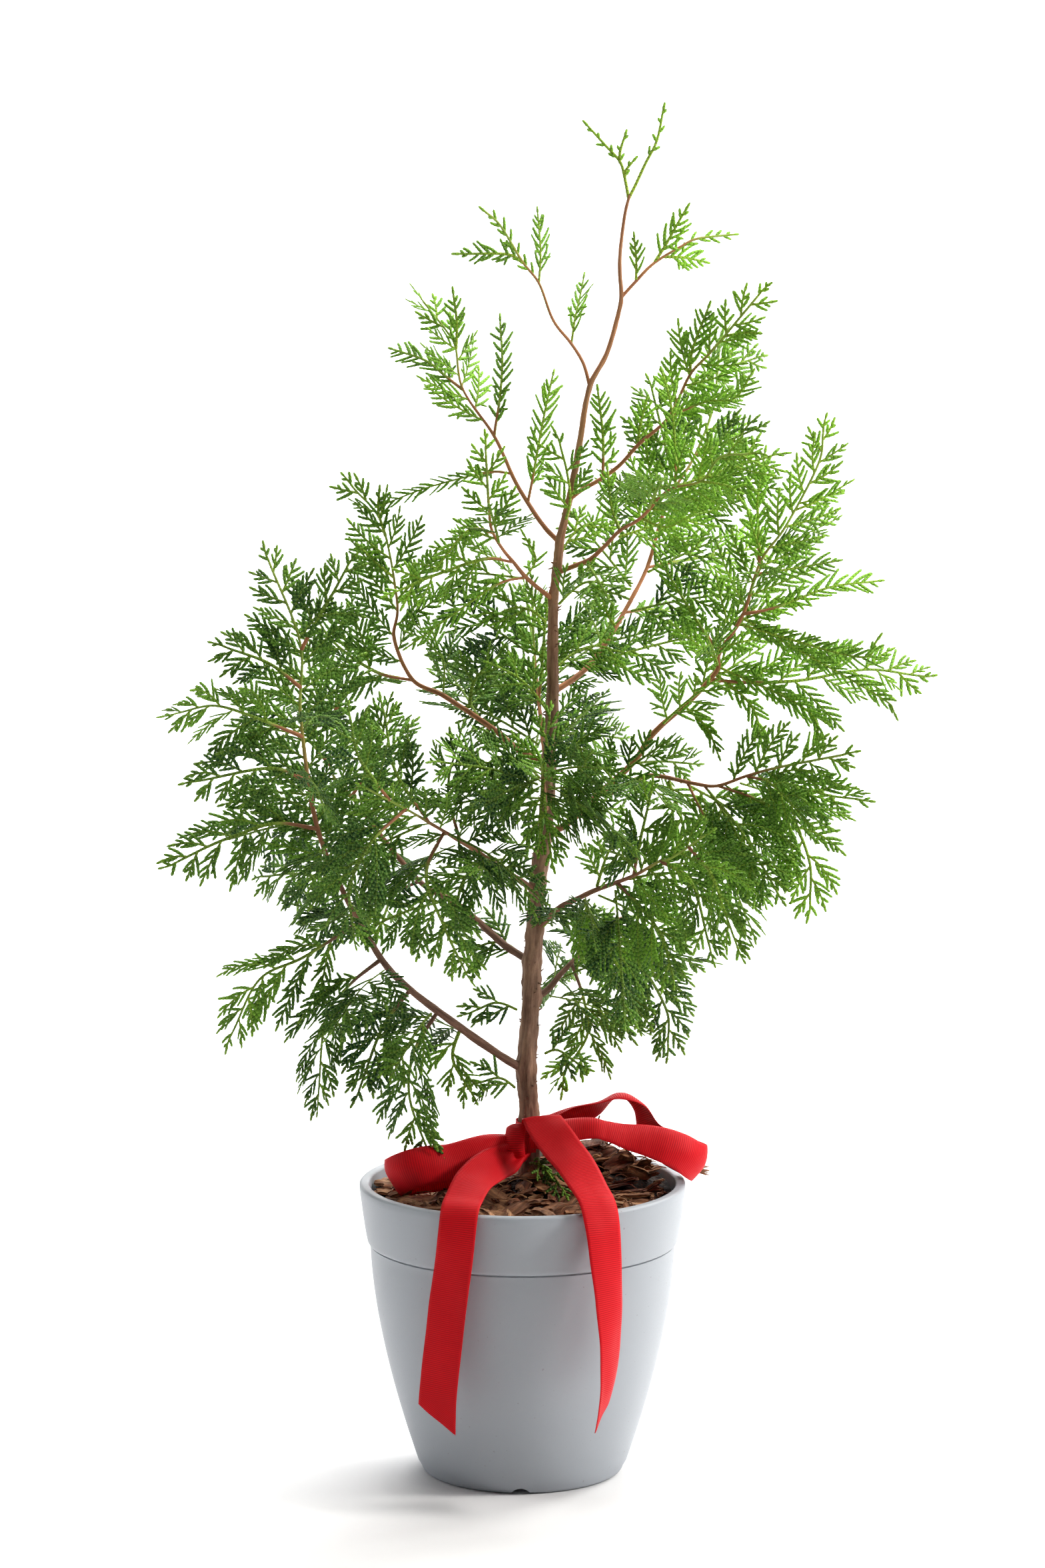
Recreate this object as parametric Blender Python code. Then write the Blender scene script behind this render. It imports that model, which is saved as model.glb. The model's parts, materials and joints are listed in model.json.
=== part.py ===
"""Tabletop arborvitae in a turned plastic pot, with a ribbon bow round its trunk.

Metres, +Z up. The origin is the centre of the pot's underside, on the surface it stands on, and
-Y is the front. The trunk has a steel core and is held in a ballast plug inside the pot, under a
soil layer and a bed of bark. Each branch is a bendable stem that turns at its root on the trunk,
in the upright plane that it grows in. Its foliage is one flat spray lying beside the stem.
"""

import math

import bmesh
import bpy
from mathutils import Matrix, Vector
from mathutils.geometry import delaunay_2d_cdt

MM = 0.001
GAP = 0.4 * MM  # between pieces that touch

# Pot, outside
POT_HEIGHT = 190 * MM
RIM_RADIUS = 105 * MM
BASE_RADIUS = 65 * MM
BAND_HEIGHT = 40 * MM  # the plain collar between the lip and the step
STEP_DEPTH = 1.6 * MM
POT_WALL = 3.0 * MM
POT_FLOOR = 3.5 * MM
BELLY = 1.62  # how fast the side straightens towards the band
LIP_WIDTH = 6.5 * MM
FOOT_ROUND = 5 * MM
DRAIN_HOLE_RADIUS = 5 * MM
DRAIN_CIRCLE = 34 * MM
DRAIN_GROOVE_RADIUS = 3.2 * MM

# Filling; each top is this far below the lip
SOIL_DROP = 20 * MM
BALLAST_DROP = 50 * MM
BARK_DROP = 10 * MM
SOIL_TOP = POT_HEIGHT - SOIL_DROP
BALLAST_TOP = POT_HEIGHT - BALLAST_DROP
BARK_TOP = POT_HEIGHT - BARK_DROP
MOUND_HEIGHT = 15 * MM
BED_CLEARANCE = 1.8 * MM  # between the bark bed and the lip
BED_SIDES = 32
CHIP_SIZE = (21 * MM, 11 * MM, 4 * MM)
CHIP_PLACES = [  # x, y in mm, turn and tilt in radians
    (-38, -62, 0.4, 0.05), (-8, -70, 2.2, -0.08), (22, -58, 1.1, 0.06),
    (68, -40, 2.7, 0.07), (-62, 32, 0.9, -0.05), (8, 66, 1.9, 0.08),
]

# The routes below are drawn for a pot and a ribbon of these sizes, and move with the real ones
DRAWN_HEIGHT = 190 * MM
DRAWN_RIM = 105 * MM
DRAWN_RIBBON = 25 * MM
KNOT_REACH = (25 * MM, 80 * MM)  # the ribbon is held by the knot here, and by the rim from there on

# Trunk
TRUNK_FOOT = 14 * MM
TRUNK_RADIUS = 6.3 * MM
CORE_RADIUS = 1.6 * MM
CORE_HEIGHT = 470  # mm
TRUNK_ROUTE = [  # x, z, radius in mm
    (4, 14, 6.3), (4, 120, 6.3), (4, 185, 6.6), (4, 232, 6.3), (3, 262, 6.1), (5, 300, 5.9),
    (7, 340, 5.7), (9, 375, 5.3), (13, 410, 5.0), (16, 440, 4.6), (17, 470, 4.2), (19, 500, 3.7),
    (19, 540, 3.3), (20, 568, 3.0), (24, 604, 2.5), (30, 632, 2.1), (36, 665, 1.9), (42, 700, 1.6),
    (53, 722, 1.5), (60, 746, 1.4), (62, 758, 1.3), (61, 781, 1.15), (64, 808, 1.0), (65, 820, 0.9),
]
TRUNK_SIDES = 9
TWIG_RADIUS = 0.8 * MM
LEADER_TWIGS = [  # the fork at the very top, x and z in mm
    [(62, 821), (59, 842), (52, 852), (41, 864)],
    [(70, 822), (73, 832), (84, 852), (88, 875)],
]
SPRIG_ROUTES = [  # short shoots low on the trunk, x, y, z in mm
    [(-5, -3, 251), (-14, -9, 259), (-28, -14, 257)],
    [(13, -3, 273), (22, -7, 277), (34, -11, 270)],
    [(-4, 2, 302), (-16, -3, 307), (-30, -8, 303)],
]

# Branches
STEM_SIDES = 6
SPRAY_THICKNESS = 2.2 * MM
SPRAY_START = 0.12  # share of the stem left bare at its root
SPRAY_SPINE_WIDTH = 5 * MM
LEAF_STATIONS = 5
LIMB_WIDTH_SHARE = 0.36  # a limb's leaf is this share of its length wide
LIMB_WIDTH_RANGE = (14 * MM, 30 * MM)
TIP_LEAF_WIDTH = 20 * MM  # the leaf that covers the stem's outer part

# Ribbon
RIBBON_WIDTH = 25 * MM
RIBBON_THICKNESS = 0.6 * MM
KNOT_SIZE = (12 * MM, 10 * MM, 15 * MM)
KNOT_PLACE = (-4, -15.5, 215)  # mm
WRAP_HEIGHT = 17 * MM
WRAP_WALL = 1.2 * MM
WRAP_PLACE = 218  # mm

# name, azimuth in degrees from +X towards +Y, root height, root and tip radius (mm), the stem's
# route and its limbs, each point being (distance out from the root, height) in mm
BRANCHES = [
    ("low_left", 200, 262, 2.9, 1.0,
     [(15, 271), (36, 286), (62, 306), (79, 320), (99, 342), (126, 391), (142, 434), (151, 500),
      (151, 545), (171, 597)],
     [[(141, 426), (168, 432), (193, 426), (212, 420), (238, 409)],
      [(116, 363), (150, 346), (180, 334), (199, 302)],
      [(99, 342), (119, 326), (135, 304), (139, 253)],
      [(79, 320), (98, 297), (114, 260)],
      [(61, 306), (77, 280), (81, 251), (69, 213)],
      [(46, 294), (51, 274), (41, 254)],
      [(149, 458), (171, 467), (217, 461)],
      [(151, 487), (184, 501), (212, 510), (242, 505)],
      [(151, 517), (171, 533), (198, 544)],
      [(151, 542), (133, 573), (124, 592)]]),
    ("back_left", 145, 332, 2.6, 0.9,
     [(23, 342), (43, 355), (63, 366), (89, 376), (125, 408), (144, 427), (161, 446), (155, 498)],
     [[(125, 408), (151, 401), (177, 383), (196, 355)],
      [(89, 376), (113, 364), (132, 338)],
      [(161, 446), (183, 463), (215, 467)],
      [(156, 472), (173, 501), (174, 532)],
      [(155, 482), (134, 515), (129, 553)],
      [(144, 427), (125, 454), (119, 485)]]),
    ("front_left", 230, 378, 2.2, 0.9,
     [(17, 388), (35, 398), (61, 413), (91, 429), (128, 448), (162, 464)],
     [[(45, 404), (70, 394), (73, 368)],
      [(91, 429), (109, 404), (94, 368), (79, 341)],
      [(128, 448), (157, 430), (172, 403), (162, 373)],
      [(76, 422), (88, 456), (79, 487)],
      [(106, 437), (132, 471), (135, 507)],
      [(143, 454), (172, 485), (182, 510)]]),
    ("mid_left", 165, 460, 2.1, 0.8,
     [(21, 470), (38, 483), (69, 502), (90, 512), (102, 538), (100, 561), (110, 611), (129, 634)],
     [[(89, 512), (116, 516), (148, 535), (166, 560)],
      [(100, 561), (86, 572), (92, 589)],
      [(105, 577), (115, 587), (125, 596)],
      [(54, 493), (48, 513), (32, 529)],
      [(69, 502), (69, 528), (82, 547)],
      [(110, 603), (112, 619), (111, 631)]]),
    ("front_left_upper", 220, 566, 1.7, 0.7,
     [(8, 571), (23, 582), (33, 592), (42, 601), (50, 612), (53, 623), (56, 664)],
     [[(33, 592), (56, 596), (92, 588), (116, 580)],
      [(50, 612), (71, 615), (99, 594)],
      [(23, 582), (44, 579), (71, 561), (95, 541)],
      [(23, 582), (14, 593), (20, 607)]]),
    ("upper_left", 155, 602, 1.7, 0.7,
     [(11, 612), (22, 626), (32, 641), (46, 668), (68, 697), (73, 723), (79, 733), (96, 752)],
     [[(68, 697), (78, 703), (96, 714), (122, 720)],
      [(46, 668), (44, 691), (46, 715), (53, 739)],
      [(73, 723), (72, 739), (74, 757)],
      [(36, 645), (50, 645), (86, 635), (112, 624)],
      [(22, 626), (19, 649), (14, 706)]]),
    ("top_left", 210, 701, 1.2, 0.6,
     [(5, 716), (14, 729), (27, 744), (37, 767), (49, 781), (65, 804), (76, 813)],
     [[(49, 781), (60, 786), (91, 787)],
      [(37, 767), (36, 787), (38, 811)],
      [(14, 729), (9, 745), (-3, 768)]]),
    ("top_right", 20, 757, 1.2, 0.6,
     [(10, 767), (22, 778), (40, 788), (52, 793), (76, 795)],
     [[(10, 767), (10, 780), (8, 794)],
      [(24, 778), (30, 791), (39, 811)],
      [(29, 782), (44, 781), (58, 778)]]),
    ("upper_right", -20, 630, 1.6, 0.7,
     [(8, 636), (22, 644), (34, 653), (46, 666), (66, 684), (80, 711), (94, 726), (124, 761)],
     [[(22, 644), (23, 670), (21, 699)],
      [(66, 684), (93, 695), (113, 698), (127, 714)],
      [(80, 711), (82, 727), (94, 753)],
      [(102, 736), (115, 738), (124, 738)],
      [(46, 666), (48, 681), (52, 694)]]),
    ("front_right_upper", -42, 583, 1.7, 0.7,
     [(13, 588), (28, 594), (40, 603), (53, 614), (70, 623), (87, 638), (97, 644), (120, 650),
      (134, 665), (157, 669)],
     [[(120, 650), (145, 648), (157, 641)],
      [(53, 614), (46, 628), (43, 651)],
      [(97, 644), (100, 666), (102, 696), (100, 717)],
      [(70, 623), (91, 619), (108, 626)]]),
    ("back_right_upper", 50, 507, 2.0, 0.7,
     [(20, 513), (38, 521), (53, 533), (72, 551), (95, 577), (108, 604), (121, 624), (145, 647),
      (164, 678), (170, 715)],
     [[(95, 577), (114, 579), (135, 580), (194, 583)],
      [(63, 542), (55, 552), (46, 571)],
      [(145, 647), (172, 656), (194, 663)],
      [(72, 550), (106, 550), (135, 540)],
      [(107, 604), (130, 611), (160, 617)]]),
    ("right", -10, 416, 2.4, 0.8,
     [(14, 422), (34, 441), (57, 463), (71, 483), (96, 506), (111, 524), (112, 534), (127, 559),
      (138, 593), (154, 616), (174, 655), (177, 675)],
     [[(107, 516), (128, 516), (162, 517), (202, 523), (234, 518)],
      [(180, 521), (200, 535), (213, 546)],
      [(127, 559), (148, 564), (180, 576), (209, 579)],
      [(136, 591), (136, 616), (135, 634), (138, 660)],
      [(159, 625), (174, 632), (191, 642)],
      [(134, 586), (153, 588), (185, 594)],
      [(117, 516), (133, 501), (140, 474)],
      [(148, 515), (169, 501), (178, 480)],
      [(112, 534), (99, 553), (74, 593)],
      [(199, 523), (212, 510), (223, 499)],
      [(91, 500), (105, 487), (113, 471)]]),
    ("front_right_low", -50, 353, 2.3, 0.8,
     [(12, 362), (21, 369), (34, 376), (61, 388), (95, 401), (119, 413), (133, 418), (162, 435)],
     [[(122, 414), (149, 403), (159, 364)],
      [(147, 426), (167, 412), (175, 394), (185, 369)],
      [(95, 401), (102, 422), (116, 456)],
      [(61, 388), (69, 409), (81, 428)],
      [(81, 395), (108, 380), (125, 366), (135, 347)],
      [(46, 381), (60, 363), (73, 343)]]),
    ("back_right_low", 40, 308, 2.5, 0.9,
     [(14, 313), (25, 322), (35, 329), (46, 336), (61, 351)],
     [[(53, 344), (79, 331), (99, 313), (117, 285), (118, 264)],
      [(46, 336), (62, 317), (77, 292)],
      [(33, 328), (46, 302), (51, 278), (33, 253)],
      [(61, 351), (86, 352), (116, 345), (140, 334)]]),
    ("front", 268, 430, 1.9, 0.7,
     [(14, 437), (34, 447), (58, 461), (92, 474)],
     [[(40, 450), (56, 436), (63, 415)],
      [(58, 461), (80, 452), (98, 434)],
      [(46, 454), (52, 474), (50, 496)]]),
    ("back", 96, 452, 2.0, 0.7,
     [(15, 461), (38, 478), (64, 500), (86, 528), (98, 560)],
     [[(38, 478), (62, 470), (84, 450)],
      [(64, 500), (92, 500), (122, 486)],
      [(86, 528), (108, 538), (126, 556)],
      [(56, 493), (50, 520), (56, 548)]]),
]
# The fork hangs under the stem of the branch "right", this far out from that stem's start
FORK = ("right_fork", -30, None, 1.7, 0.8,  # its root is found on the parent's stem
        [(14, 452), (30, 457), (60, 454), (76, 454), (97, 462), (119, 469), (163, 480)],
        [[(97, 462), (125, 458), (147, 452), (163, 450)],
         [(76, 454), (103, 448), (130, 436), (144, 412), (146, 388)],
         [(66, 454), (88, 432), (108, 409), (120, 393)],
         [(54, 454), (69, 426), (80, 392), (88, 363)],
         [(39, 457), (48, 434), (52, 414)]])
FORK_REACH = 40 * MM
FORK_DROP = 6.5 * MM
FORK_PARENT = "right"

# Ribbon strips: centre (x, y, z) and the way the width points (x, y, z), mm
TAIL_LEFT = [
    ((-9, -24, 211), (0.60, -0.30, -0.70)), ((-20, -42, 208), (0.75, -0.38, -0.50)),
    ((-30, -63, 205), (0.86, -0.40, -0.30)), ((-36, -84, 199), (0.92, -0.38, -0.10)),
    ((-39, -99, 194), (0.93, -0.36, 0.0)), ((-41, -106, 180), (0.93, -0.36, 0.02)),
    ((-44, -107, 155), (0.93, -0.36, 0.03)), ((-49, -106, 115), (0.93, -0.36, 0.04)),
    ((-53, -104, 77), (0.94, -0.34, 0.04)), ((-54, -102, 51), (0.94, -0.34, 0.04)),
]
TAIL_RIGHT = [
    ((5, -19, 235), (0.80, 0.10, 0.60)), ((13, -30, 232), (0.86, 0.10, 0.50)),
    ((24, -46, 224), (0.90, 0.20, 0.36)), ((33, -63, 215), (0.90, 0.36, 0.22)),
    ((41, -80, 205), (0.90, 0.42, 0.10)), ((47, -95, 197), (0.88, 0.47, 0.0)),
    ((50, -104, 184), (0.85, 0.52, 0.0)), ((52, -108, 165), (0.78, 0.62, 0.0)),
    ((54, -111, 139), (0.66, 0.75, 0.0)), ((55, -112, 113), (0.52, 0.85, 0.0)),
    ((54, -113, 89), (0.39, 0.92, 0.0)), ((51, -113, 72), (0.26, 0.97, 0.0)),
    ((47, -112, 57), (0.10, 0.99, 0.0)),
]
LOOP_LEFT = [
    ((-12, -19, 217), (0.10, -0.45, -0.88)), ((-28, -26, 213), (0.06, -0.50, -0.86)),
    ((-45, -33, 208), (0.05, -0.45, -0.89)), ((-62, -36, 205), (0.08, -0.35, -0.93)),
    ((-75, -33, 202), (0.15, -0.22, -0.96)), ((-80, -25, 200), (0.25, 0.0, -0.97)),
    ((-74, -16, 199), (0.20, 0.1, -0.97)), ((-58, -12, 199), (0.1, 0.1, -0.99)),
    ((-38, -11, 202), (0.05, 0.1, -0.99)), ((-14, -13, 207), (0.0, 0.1, -0.99)),
]
LOOP_RIGHT = [
    ((13, -14.5, 222), (0.0, -0.75, -0.66)), ((27, -16, 226), (0.0, -0.90, -0.44)),
    ((44, -16, 228), (0.1, -0.95, -0.28)), ((54, -16, 226), (0.12, -0.95, -0.30)),
    ((66, -16, 222), (0.1, -0.85, -0.50)), ((80, -15, 218), (0.0, -0.70, -0.70)),
    ((96, -13, 211), (-0.15, -0.45, -0.87)), ((110, -6, 203), (-0.30, -0.10, -0.94)),
    ((108, 5, 202), (-0.35, 0.15, -0.92)), ((94, 13, 206), (-0.45, 0.35, -0.80)),
    ((83, 19, 217), (-0.50, 0.65, -0.55)), ((75, 22, 232), (-0.25, 0.90, -0.30)),
    ((63, 22, 239), (0.0, 1.0, -0.05)), ((48, 19, 233), (0.1, 0.85, -0.50)),
    ((32, 18, 228), (0.1, 0.70, -0.70)), ((18, 15.5, 224), (0.0, 0.6, -0.80)),
]


def up(height):
    """Height of a drawn place in mm, which keeps its distance from the pot's lip."""
    return height * MM + POT_HEIGHT - DRAWN_HEIGHT


def beside(x, y):
    """A place in mm on the bed or the rim, which keeps its share of the rim's radius."""
    return x * MM * RIM_RADIUS / DRAWN_RIM, y * MM * RIM_RADIUS / DRAWN_RIM


def drawn(x, y, z):
    """A place drawn in mm near the trunk."""
    return Vector((x * MM, y * MM, up(z)))


def ribbon_place(centre, way):
    """A drawn ribbon station: from the knot outwards it follows the rim and lifts with its width."""
    x, y, z = centre
    near, far = KNOT_REACH
    share = min(max((math.hypot(x, y) * MM - near) / (far - near), 0.0), 1.0)
    wide = 1 + (RIM_RADIUS / DRAWN_RIM - 1) * share
    lift = (RIBBON_WIDTH - DRAWN_RIBBON) / 2 * abs(Vector(way).normalized().z) * share
    return Vector((x * MM * wide, y * MM * wide, up(z) + lift))


def clear_scene():
    for item in list(bpy.data.objects):
        bpy.data.objects.remove(item)


def material(name, color, roughness, metallic=0.0):
    found = bpy.data.materials.get(name)
    if found:
        return found
    made = bpy.data.materials.new(name)
    made.use_nodes = True
    shader = made.node_tree.nodes["Principled BSDF"]
    shader.inputs["Base Color"].default_value = (*color, 1.0)
    shader.inputs["Roughness"].default_value = roughness
    shader.inputs["Metallic"].default_value = metallic
    return made


def finishes(name):
    table = {
        "pot": ((0.50, 0.52, 0.54), 0.55, 0.0),
        "ballast": ((0.30, 0.29, 0.27), 0.90, 0.0),
        "soil": ((0.035, 0.022, 0.015), 0.95, 0.0),
        "bark": ((0.20, 0.095, 0.050), 0.85, 0.0),
        "trunk": ((0.27, 0.16, 0.10), 0.85, 0.0),
        "steel": ((0.45, 0.45, 0.46), 0.35, 1.0),
        "stem": ((0.32, 0.15, 0.07), 0.75, 0.0),
        "foliage": ((0.06, 0.19, 0.06), 0.60, 0.0),
        "ribbon": ((0.70, 0.010, 0.015), 0.55, 0.0),
    }
    return material(name, *table[name])


def make_object(name, mesh_data, finish, smooth_angle=0.6):
    """One closed body from a bmesh, with its normals out and its round faces smooth."""
    bmesh.ops.recalc_face_normals(mesh_data, faces=mesh_data.faces)
    mesh = bpy.data.meshes.new(name)
    mesh_data.to_mesh(mesh)
    mesh_data.free()
    mesh.shade_smooth()
    mesh.set_sharp_from_angle(angle=smooth_angle)
    made = bpy.data.objects.new(name, mesh)
    bpy.context.scene.collection.objects.link(made)
    made.data.materials.append(finishes(finish))
    return made


def place_origin(item, point):
    """Moves an object's origin to a point and leaves its shape where it is."""
    item.data.transform(Matrix.Translation(-point))
    item.location = point


def cut(item, cutters):
    for cutter in cutters:
        cutter.hide_render = True
        cutter.display_type = "WIRE"
        modifier = item.modifiers.new(cutter.name, "BOOLEAN")
        modifier.operation = "DIFFERENCE"
        modifier.solver = "EXACT"
        modifier.object = cutter


def turned(name, profile, finish, segments=48, hole=0.0):
    """A solid of revolution about the trunk's or the pot's axis from (radius, height) points.

    The profile is a closed outline; points on the axis make a single vertex.
    """
    made = bmesh.new()
    rings = []
    for radius, height in profile:
        if radius < 1e-6:
            rings.append([made.verts.new((0, 0, height))])
            continue
        turn = [2 * math.pi * i / segments for i in range(segments)]
        rings.append([made.verts.new((radius * math.cos(a), radius * math.sin(a), height))
                      for a in turn])
    pairs = list(zip(rings, rings[1:]))
    if hole > 0.0:
        pairs.append((rings[-1], rings[0]))
    for low, high in pairs:
        join_rings(made, low, high)
    return make_object(name, made, finish)


def join_rings(made, low, high):
    if len(low) == 1 and len(high) == 1:
        return
    count = max(len(low), len(high))
    for i in range(count):
        j = (i + 1) % count
        if len(low) == 1:
            made.faces.new((low[0], high[i], high[j]))
        elif len(high) == 1:
            made.faces.new((low[i], low[j], high[0]))
        else:
            made.faces.new((low[i], low[j], high[j], high[i]))


def cylinder(name, radius, low, high, x=0.0, y=0.0, segments=16):
    made = bmesh.new()
    bmesh.ops.create_cone(made, cap_ends=True, segments=segments, radius1=radius, radius2=radius,
                          depth=high - low,
                          matrix=Matrix.Translation((x, y, (low + high) / 2)))
    return make_object(name, made, "pot")


def smooth_route(points, count):
    """Evenly spaced points on a Catmull-Rom curve through the route."""
    ends = [points[0] * 2 - points[1], *points, points[-1] * 2 - points[-2]]
    fine = []
    for a, b, c, d in zip(ends, ends[1:], ends[2:], ends[3:]):
        for step in range(12):
            t = step / 12
            fine.append(0.5 * (2 * b + (c - a) * t + (2 * a - 5 * b + 4 * c - d) * t * t
                               + (3 * b - a - 3 * c + d) * t * t * t))
    fine.append(points[-1])
    lengths = [0.0]
    for a, b in zip(fine, fine[1:]):
        lengths.append(lengths[-1] + (b - a).length)
    found = []
    at = 0
    for i in range(count):
        want = lengths[-1] * i / (count - 1)
        while at < len(fine) - 2 and lengths[at + 1] < want:
            at += 1
        share = (want - lengths[at]) / max(lengths[at + 1] - lengths[at], 1e-12)
        found.append(fine[at].lerp(fine[at + 1], min(max(share, 0.0), 1.0)))
    return found


def tube_rings(made, points, radii, sides, side_way):
    rings = []
    for i, (point, radius) in enumerate(zip(points, radii)):
        before = points[max(i - 1, 0)]
        after = points[min(i + 1, len(points) - 1)]
        along = (after - before).normalized()
        across = (side_way - along * side_way.dot(along)).normalized()
        third = along.cross(across)
        rings.append([made.verts.new(point + radius * (math.cos(2 * math.pi * k / sides) * across
                                                       + math.sin(2 * math.pi * k / sides) * third))
                      for k in range(sides)])
    return rings


def add_tube(made, points, radii, sides, side_way, dome=0.35):
    """A tube closed by a shallow point at each end."""
    rings = tube_rings(made, points, radii, sides, side_way)
    start = points[0] - (points[1] - points[0]).normalized() * radii[0] * dome
    end = points[-1] + (points[-1] - points[-2]).normalized() * radii[-1] * dome
    chain = [[made.verts.new(start)], *rings, [made.verts.new(end)]]
    for low, high in zip(chain, chain[1:]):
        join_rings(made, low, high)


def taper(first, last, count):
    return [first + (last - first) * i / (count - 1) for i in range(count)]


# ---------------------------------------------------------------- pot and filling

def pot_radius(height):
    """Outside radius of the pot's side below the band."""
    span = POT_HEIGHT - BAND_HEIGHT
    full = RIM_RADIUS - 2 * STEP_DEPTH - 3.8 * MM
    share = 1 - min(height, span) / span
    return BASE_RADIUS + (full - BASE_RADIUS) * (1 - share ** BELLY)


def pot_bore(height):
    """Inside radius of the pot, up to where the lip narrows it."""
    return pot_radius(height) - POT_WALL


def build_pot():
    step = POT_HEIGHT - BAND_HEIGHT
    side = [step * i / 8 for i in range(9)]
    inside_low = POT_FLOOR + 2 * MM
    inner = [inside_low + (step - inside_low) * i / 5 for i in range(6)]
    band = pot_radius(step)
    profile = [(0, 0), (BASE_RADIUS - FOOT_ROUND, 0), (BASE_RADIUS - 0.35 * FOOT_ROUND, 1.3 * MM)]
    profile += [(pot_radius(h), h) for h in side if h >= FOOT_ROUND]
    profile += [
        (band + 0.1 * MM, step + 0.6 * MM),
        (band - 0.5 * MM, step + 1.0 * MM),
        (band + STEP_DEPTH, step + 2.2 * MM),
        (RIM_RADIUS - 2.2 * MM, POT_HEIGHT - 20 * MM),
        (RIM_RADIUS - 0.4 * MM, POT_HEIGHT - 4 * MM),
        (RIM_RADIUS, POT_HEIGHT - 2 * MM),
        (RIM_RADIUS - 1.6 * MM, POT_HEIGHT),
        (RIM_RADIUS - LIP_WIDTH + 1.6 * MM, POT_HEIGHT),
        (RIM_RADIUS - LIP_WIDTH, POT_HEIGHT - 2 * MM),
        (RIM_RADIUS - LIP_WIDTH - 0.4 * MM, POT_HEIGHT - 12 * MM),
    ]
    profile += [(pot_bore(h), h) for h in reversed(inner)]
    profile += [(pot_bore(inside_low) - 3 * MM, POT_FLOOR), (0, POT_FLOOR)]
    pot = turned("pot", profile, "pot", segments=44)
    cutters = []
    for i in range(4):
        turn = math.radians(45 + 90 * i)
        cutters.append(cylinder(f"drain_{i}", DRAIN_HOLE_RADIUS, -MM, POT_FLOOR + MM,
                                DRAIN_CIRCLE * math.cos(turn), DRAIN_CIRCLE * math.sin(turn), 12))
    for i in range(3):
        groove = cylinder(f"groove_{i}", DRAIN_GROOVE_RADIUS, 0, 30 * MM, segments=12)
        turn = math.radians(-91 + 120 * i)
        groove.rotation_euler = (0, math.radians(90), turn)
        start = BASE_RADIUS - 16 * MM
        groove.location = (start * math.cos(turn), start * math.sin(turn), -0.3 * MM)
        cutters.append(groove)
    cut(pot, cutters)
    return pot


def build_ballast():
    low = POT_FLOOR + GAP
    heights = [low + 6 * MM, low + 40 * MM, low + 80 * MM, BALLAST_TOP]
    bore = trunk_radius(BALLAST_TOP) + 2 * GAP
    x = trunk_point(BALLAST_TOP).x
    profile = [(0, low), (pot_bore(low) - 6 * MM, low)]
    profile += [(pot_bore(h) - 3 * GAP, h) for h in heights]
    profile += [(0, BALLAST_TOP)]
    plug = turned("ballast_plug", profile, "ballast", segments=40)
    socket = cylinder("trunk_socket", bore, TRUNK_FOOT - GAP, BALLAST_TOP + 5 * MM, x, 0, 16)
    cut(plug, [socket])
    return plug


def build_soil():
    low, high = BALLAST_TOP + GAP, SOIL_TOP
    profile = [(0, low), (pot_bore(low) - 3 * GAP, low),
               (min(pot_bore(high), RIM_RADIUS - LIP_WIDTH) - 4 * GAP, high), (0, high)]
    soil = turned("soil_layer", profile, "soil", segments=40)
    hole = cylinder("soil_hole", TRUNK_RADIUS + 3 * GAP, low - 5 * MM, high + 5 * MM,
                    trunk_point(high).x, 0, 16)
    cut(soil, [hole])
    return soil


def bark_height(x, y):
    """Top of the bark bed: a gentle roll, and a mound behind the trunk on the right."""
    far = math.hypot(x - 52 * MM, y - 34 * MM) / (32 * MM)
    mound = MOUND_HEIGHT * math.exp(-far * far)
    roll = 1.6 * MM * math.sin(x / (13 * MM)) * math.cos(y / (11 * MM) + 0.6)
    return BARK_TOP + roll + mound


def build_bark_bed():
    low = SOIL_TOP + GAP
    outer = RIM_RADIUS - LIP_WIDTH - BED_CLEARANCE
    middle = trunk_point(BARK_TOP).x
    inner = TRUNK_RADIUS + 4 * GAP
    made = bmesh.new()
    rings = []
    shares = (0.0, 0.18, 0.38, 0.58, 0.78, 1.0)
    for share in shares:
        radius = inner + (outer - inner) * share
        shift = middle * (1 - share)
        ring = []
        for i in range(BED_SIDES):
            turn = 2 * math.pi * i / BED_SIDES
            x, y = shift + radius * math.cos(turn), radius * math.sin(turn)
            ring.append(made.verts.new((x, y, bark_height(x, y))))
        rings.append(ring)
    for index in (-1, 0):
        rings.append([made.verts.new((v.co.x, v.co.y, low)) for v in rings[index]])
    for first, second in zip(rings, rings[1:] + rings[:1]):
        join_rings(made, first, second)
    bmesh.ops.triangulate(made, faces=made.faces)
    return make_object("bark_bed", made, "bark", smooth_angle=0.4)


def build_chip(name, x, y, turn, tilt, lift=0.0):
    """A loose chip of bark: a wedge-ended slab lying on the bed."""
    length, width, thick = CHIP_SIZE
    made = bmesh.new()
    bmesh.ops.create_cube(made, size=1.0)
    for vert in made.verts:
        narrow = 0.55 if vert.co.x > 0 else 1.0
        vert.co = Vector((vert.co.x * length, vert.co.y * width * narrow,
                          vert.co.z * thick * (0.7 if vert.co.x > 0 else 1.0)))
    spin = Matrix.Rotation(turn, 4, "Z") @ Matrix.Rotation(tilt, 4, "Y")
    height = bark_height(x, y) + thick + abs(math.sin(tilt)) * length / 2 + lift
    bmesh.ops.transform(made, matrix=Matrix.Translation((x, y, height)) @ spin, verts=made.verts)
    return make_object(name, made, "bark")


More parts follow.
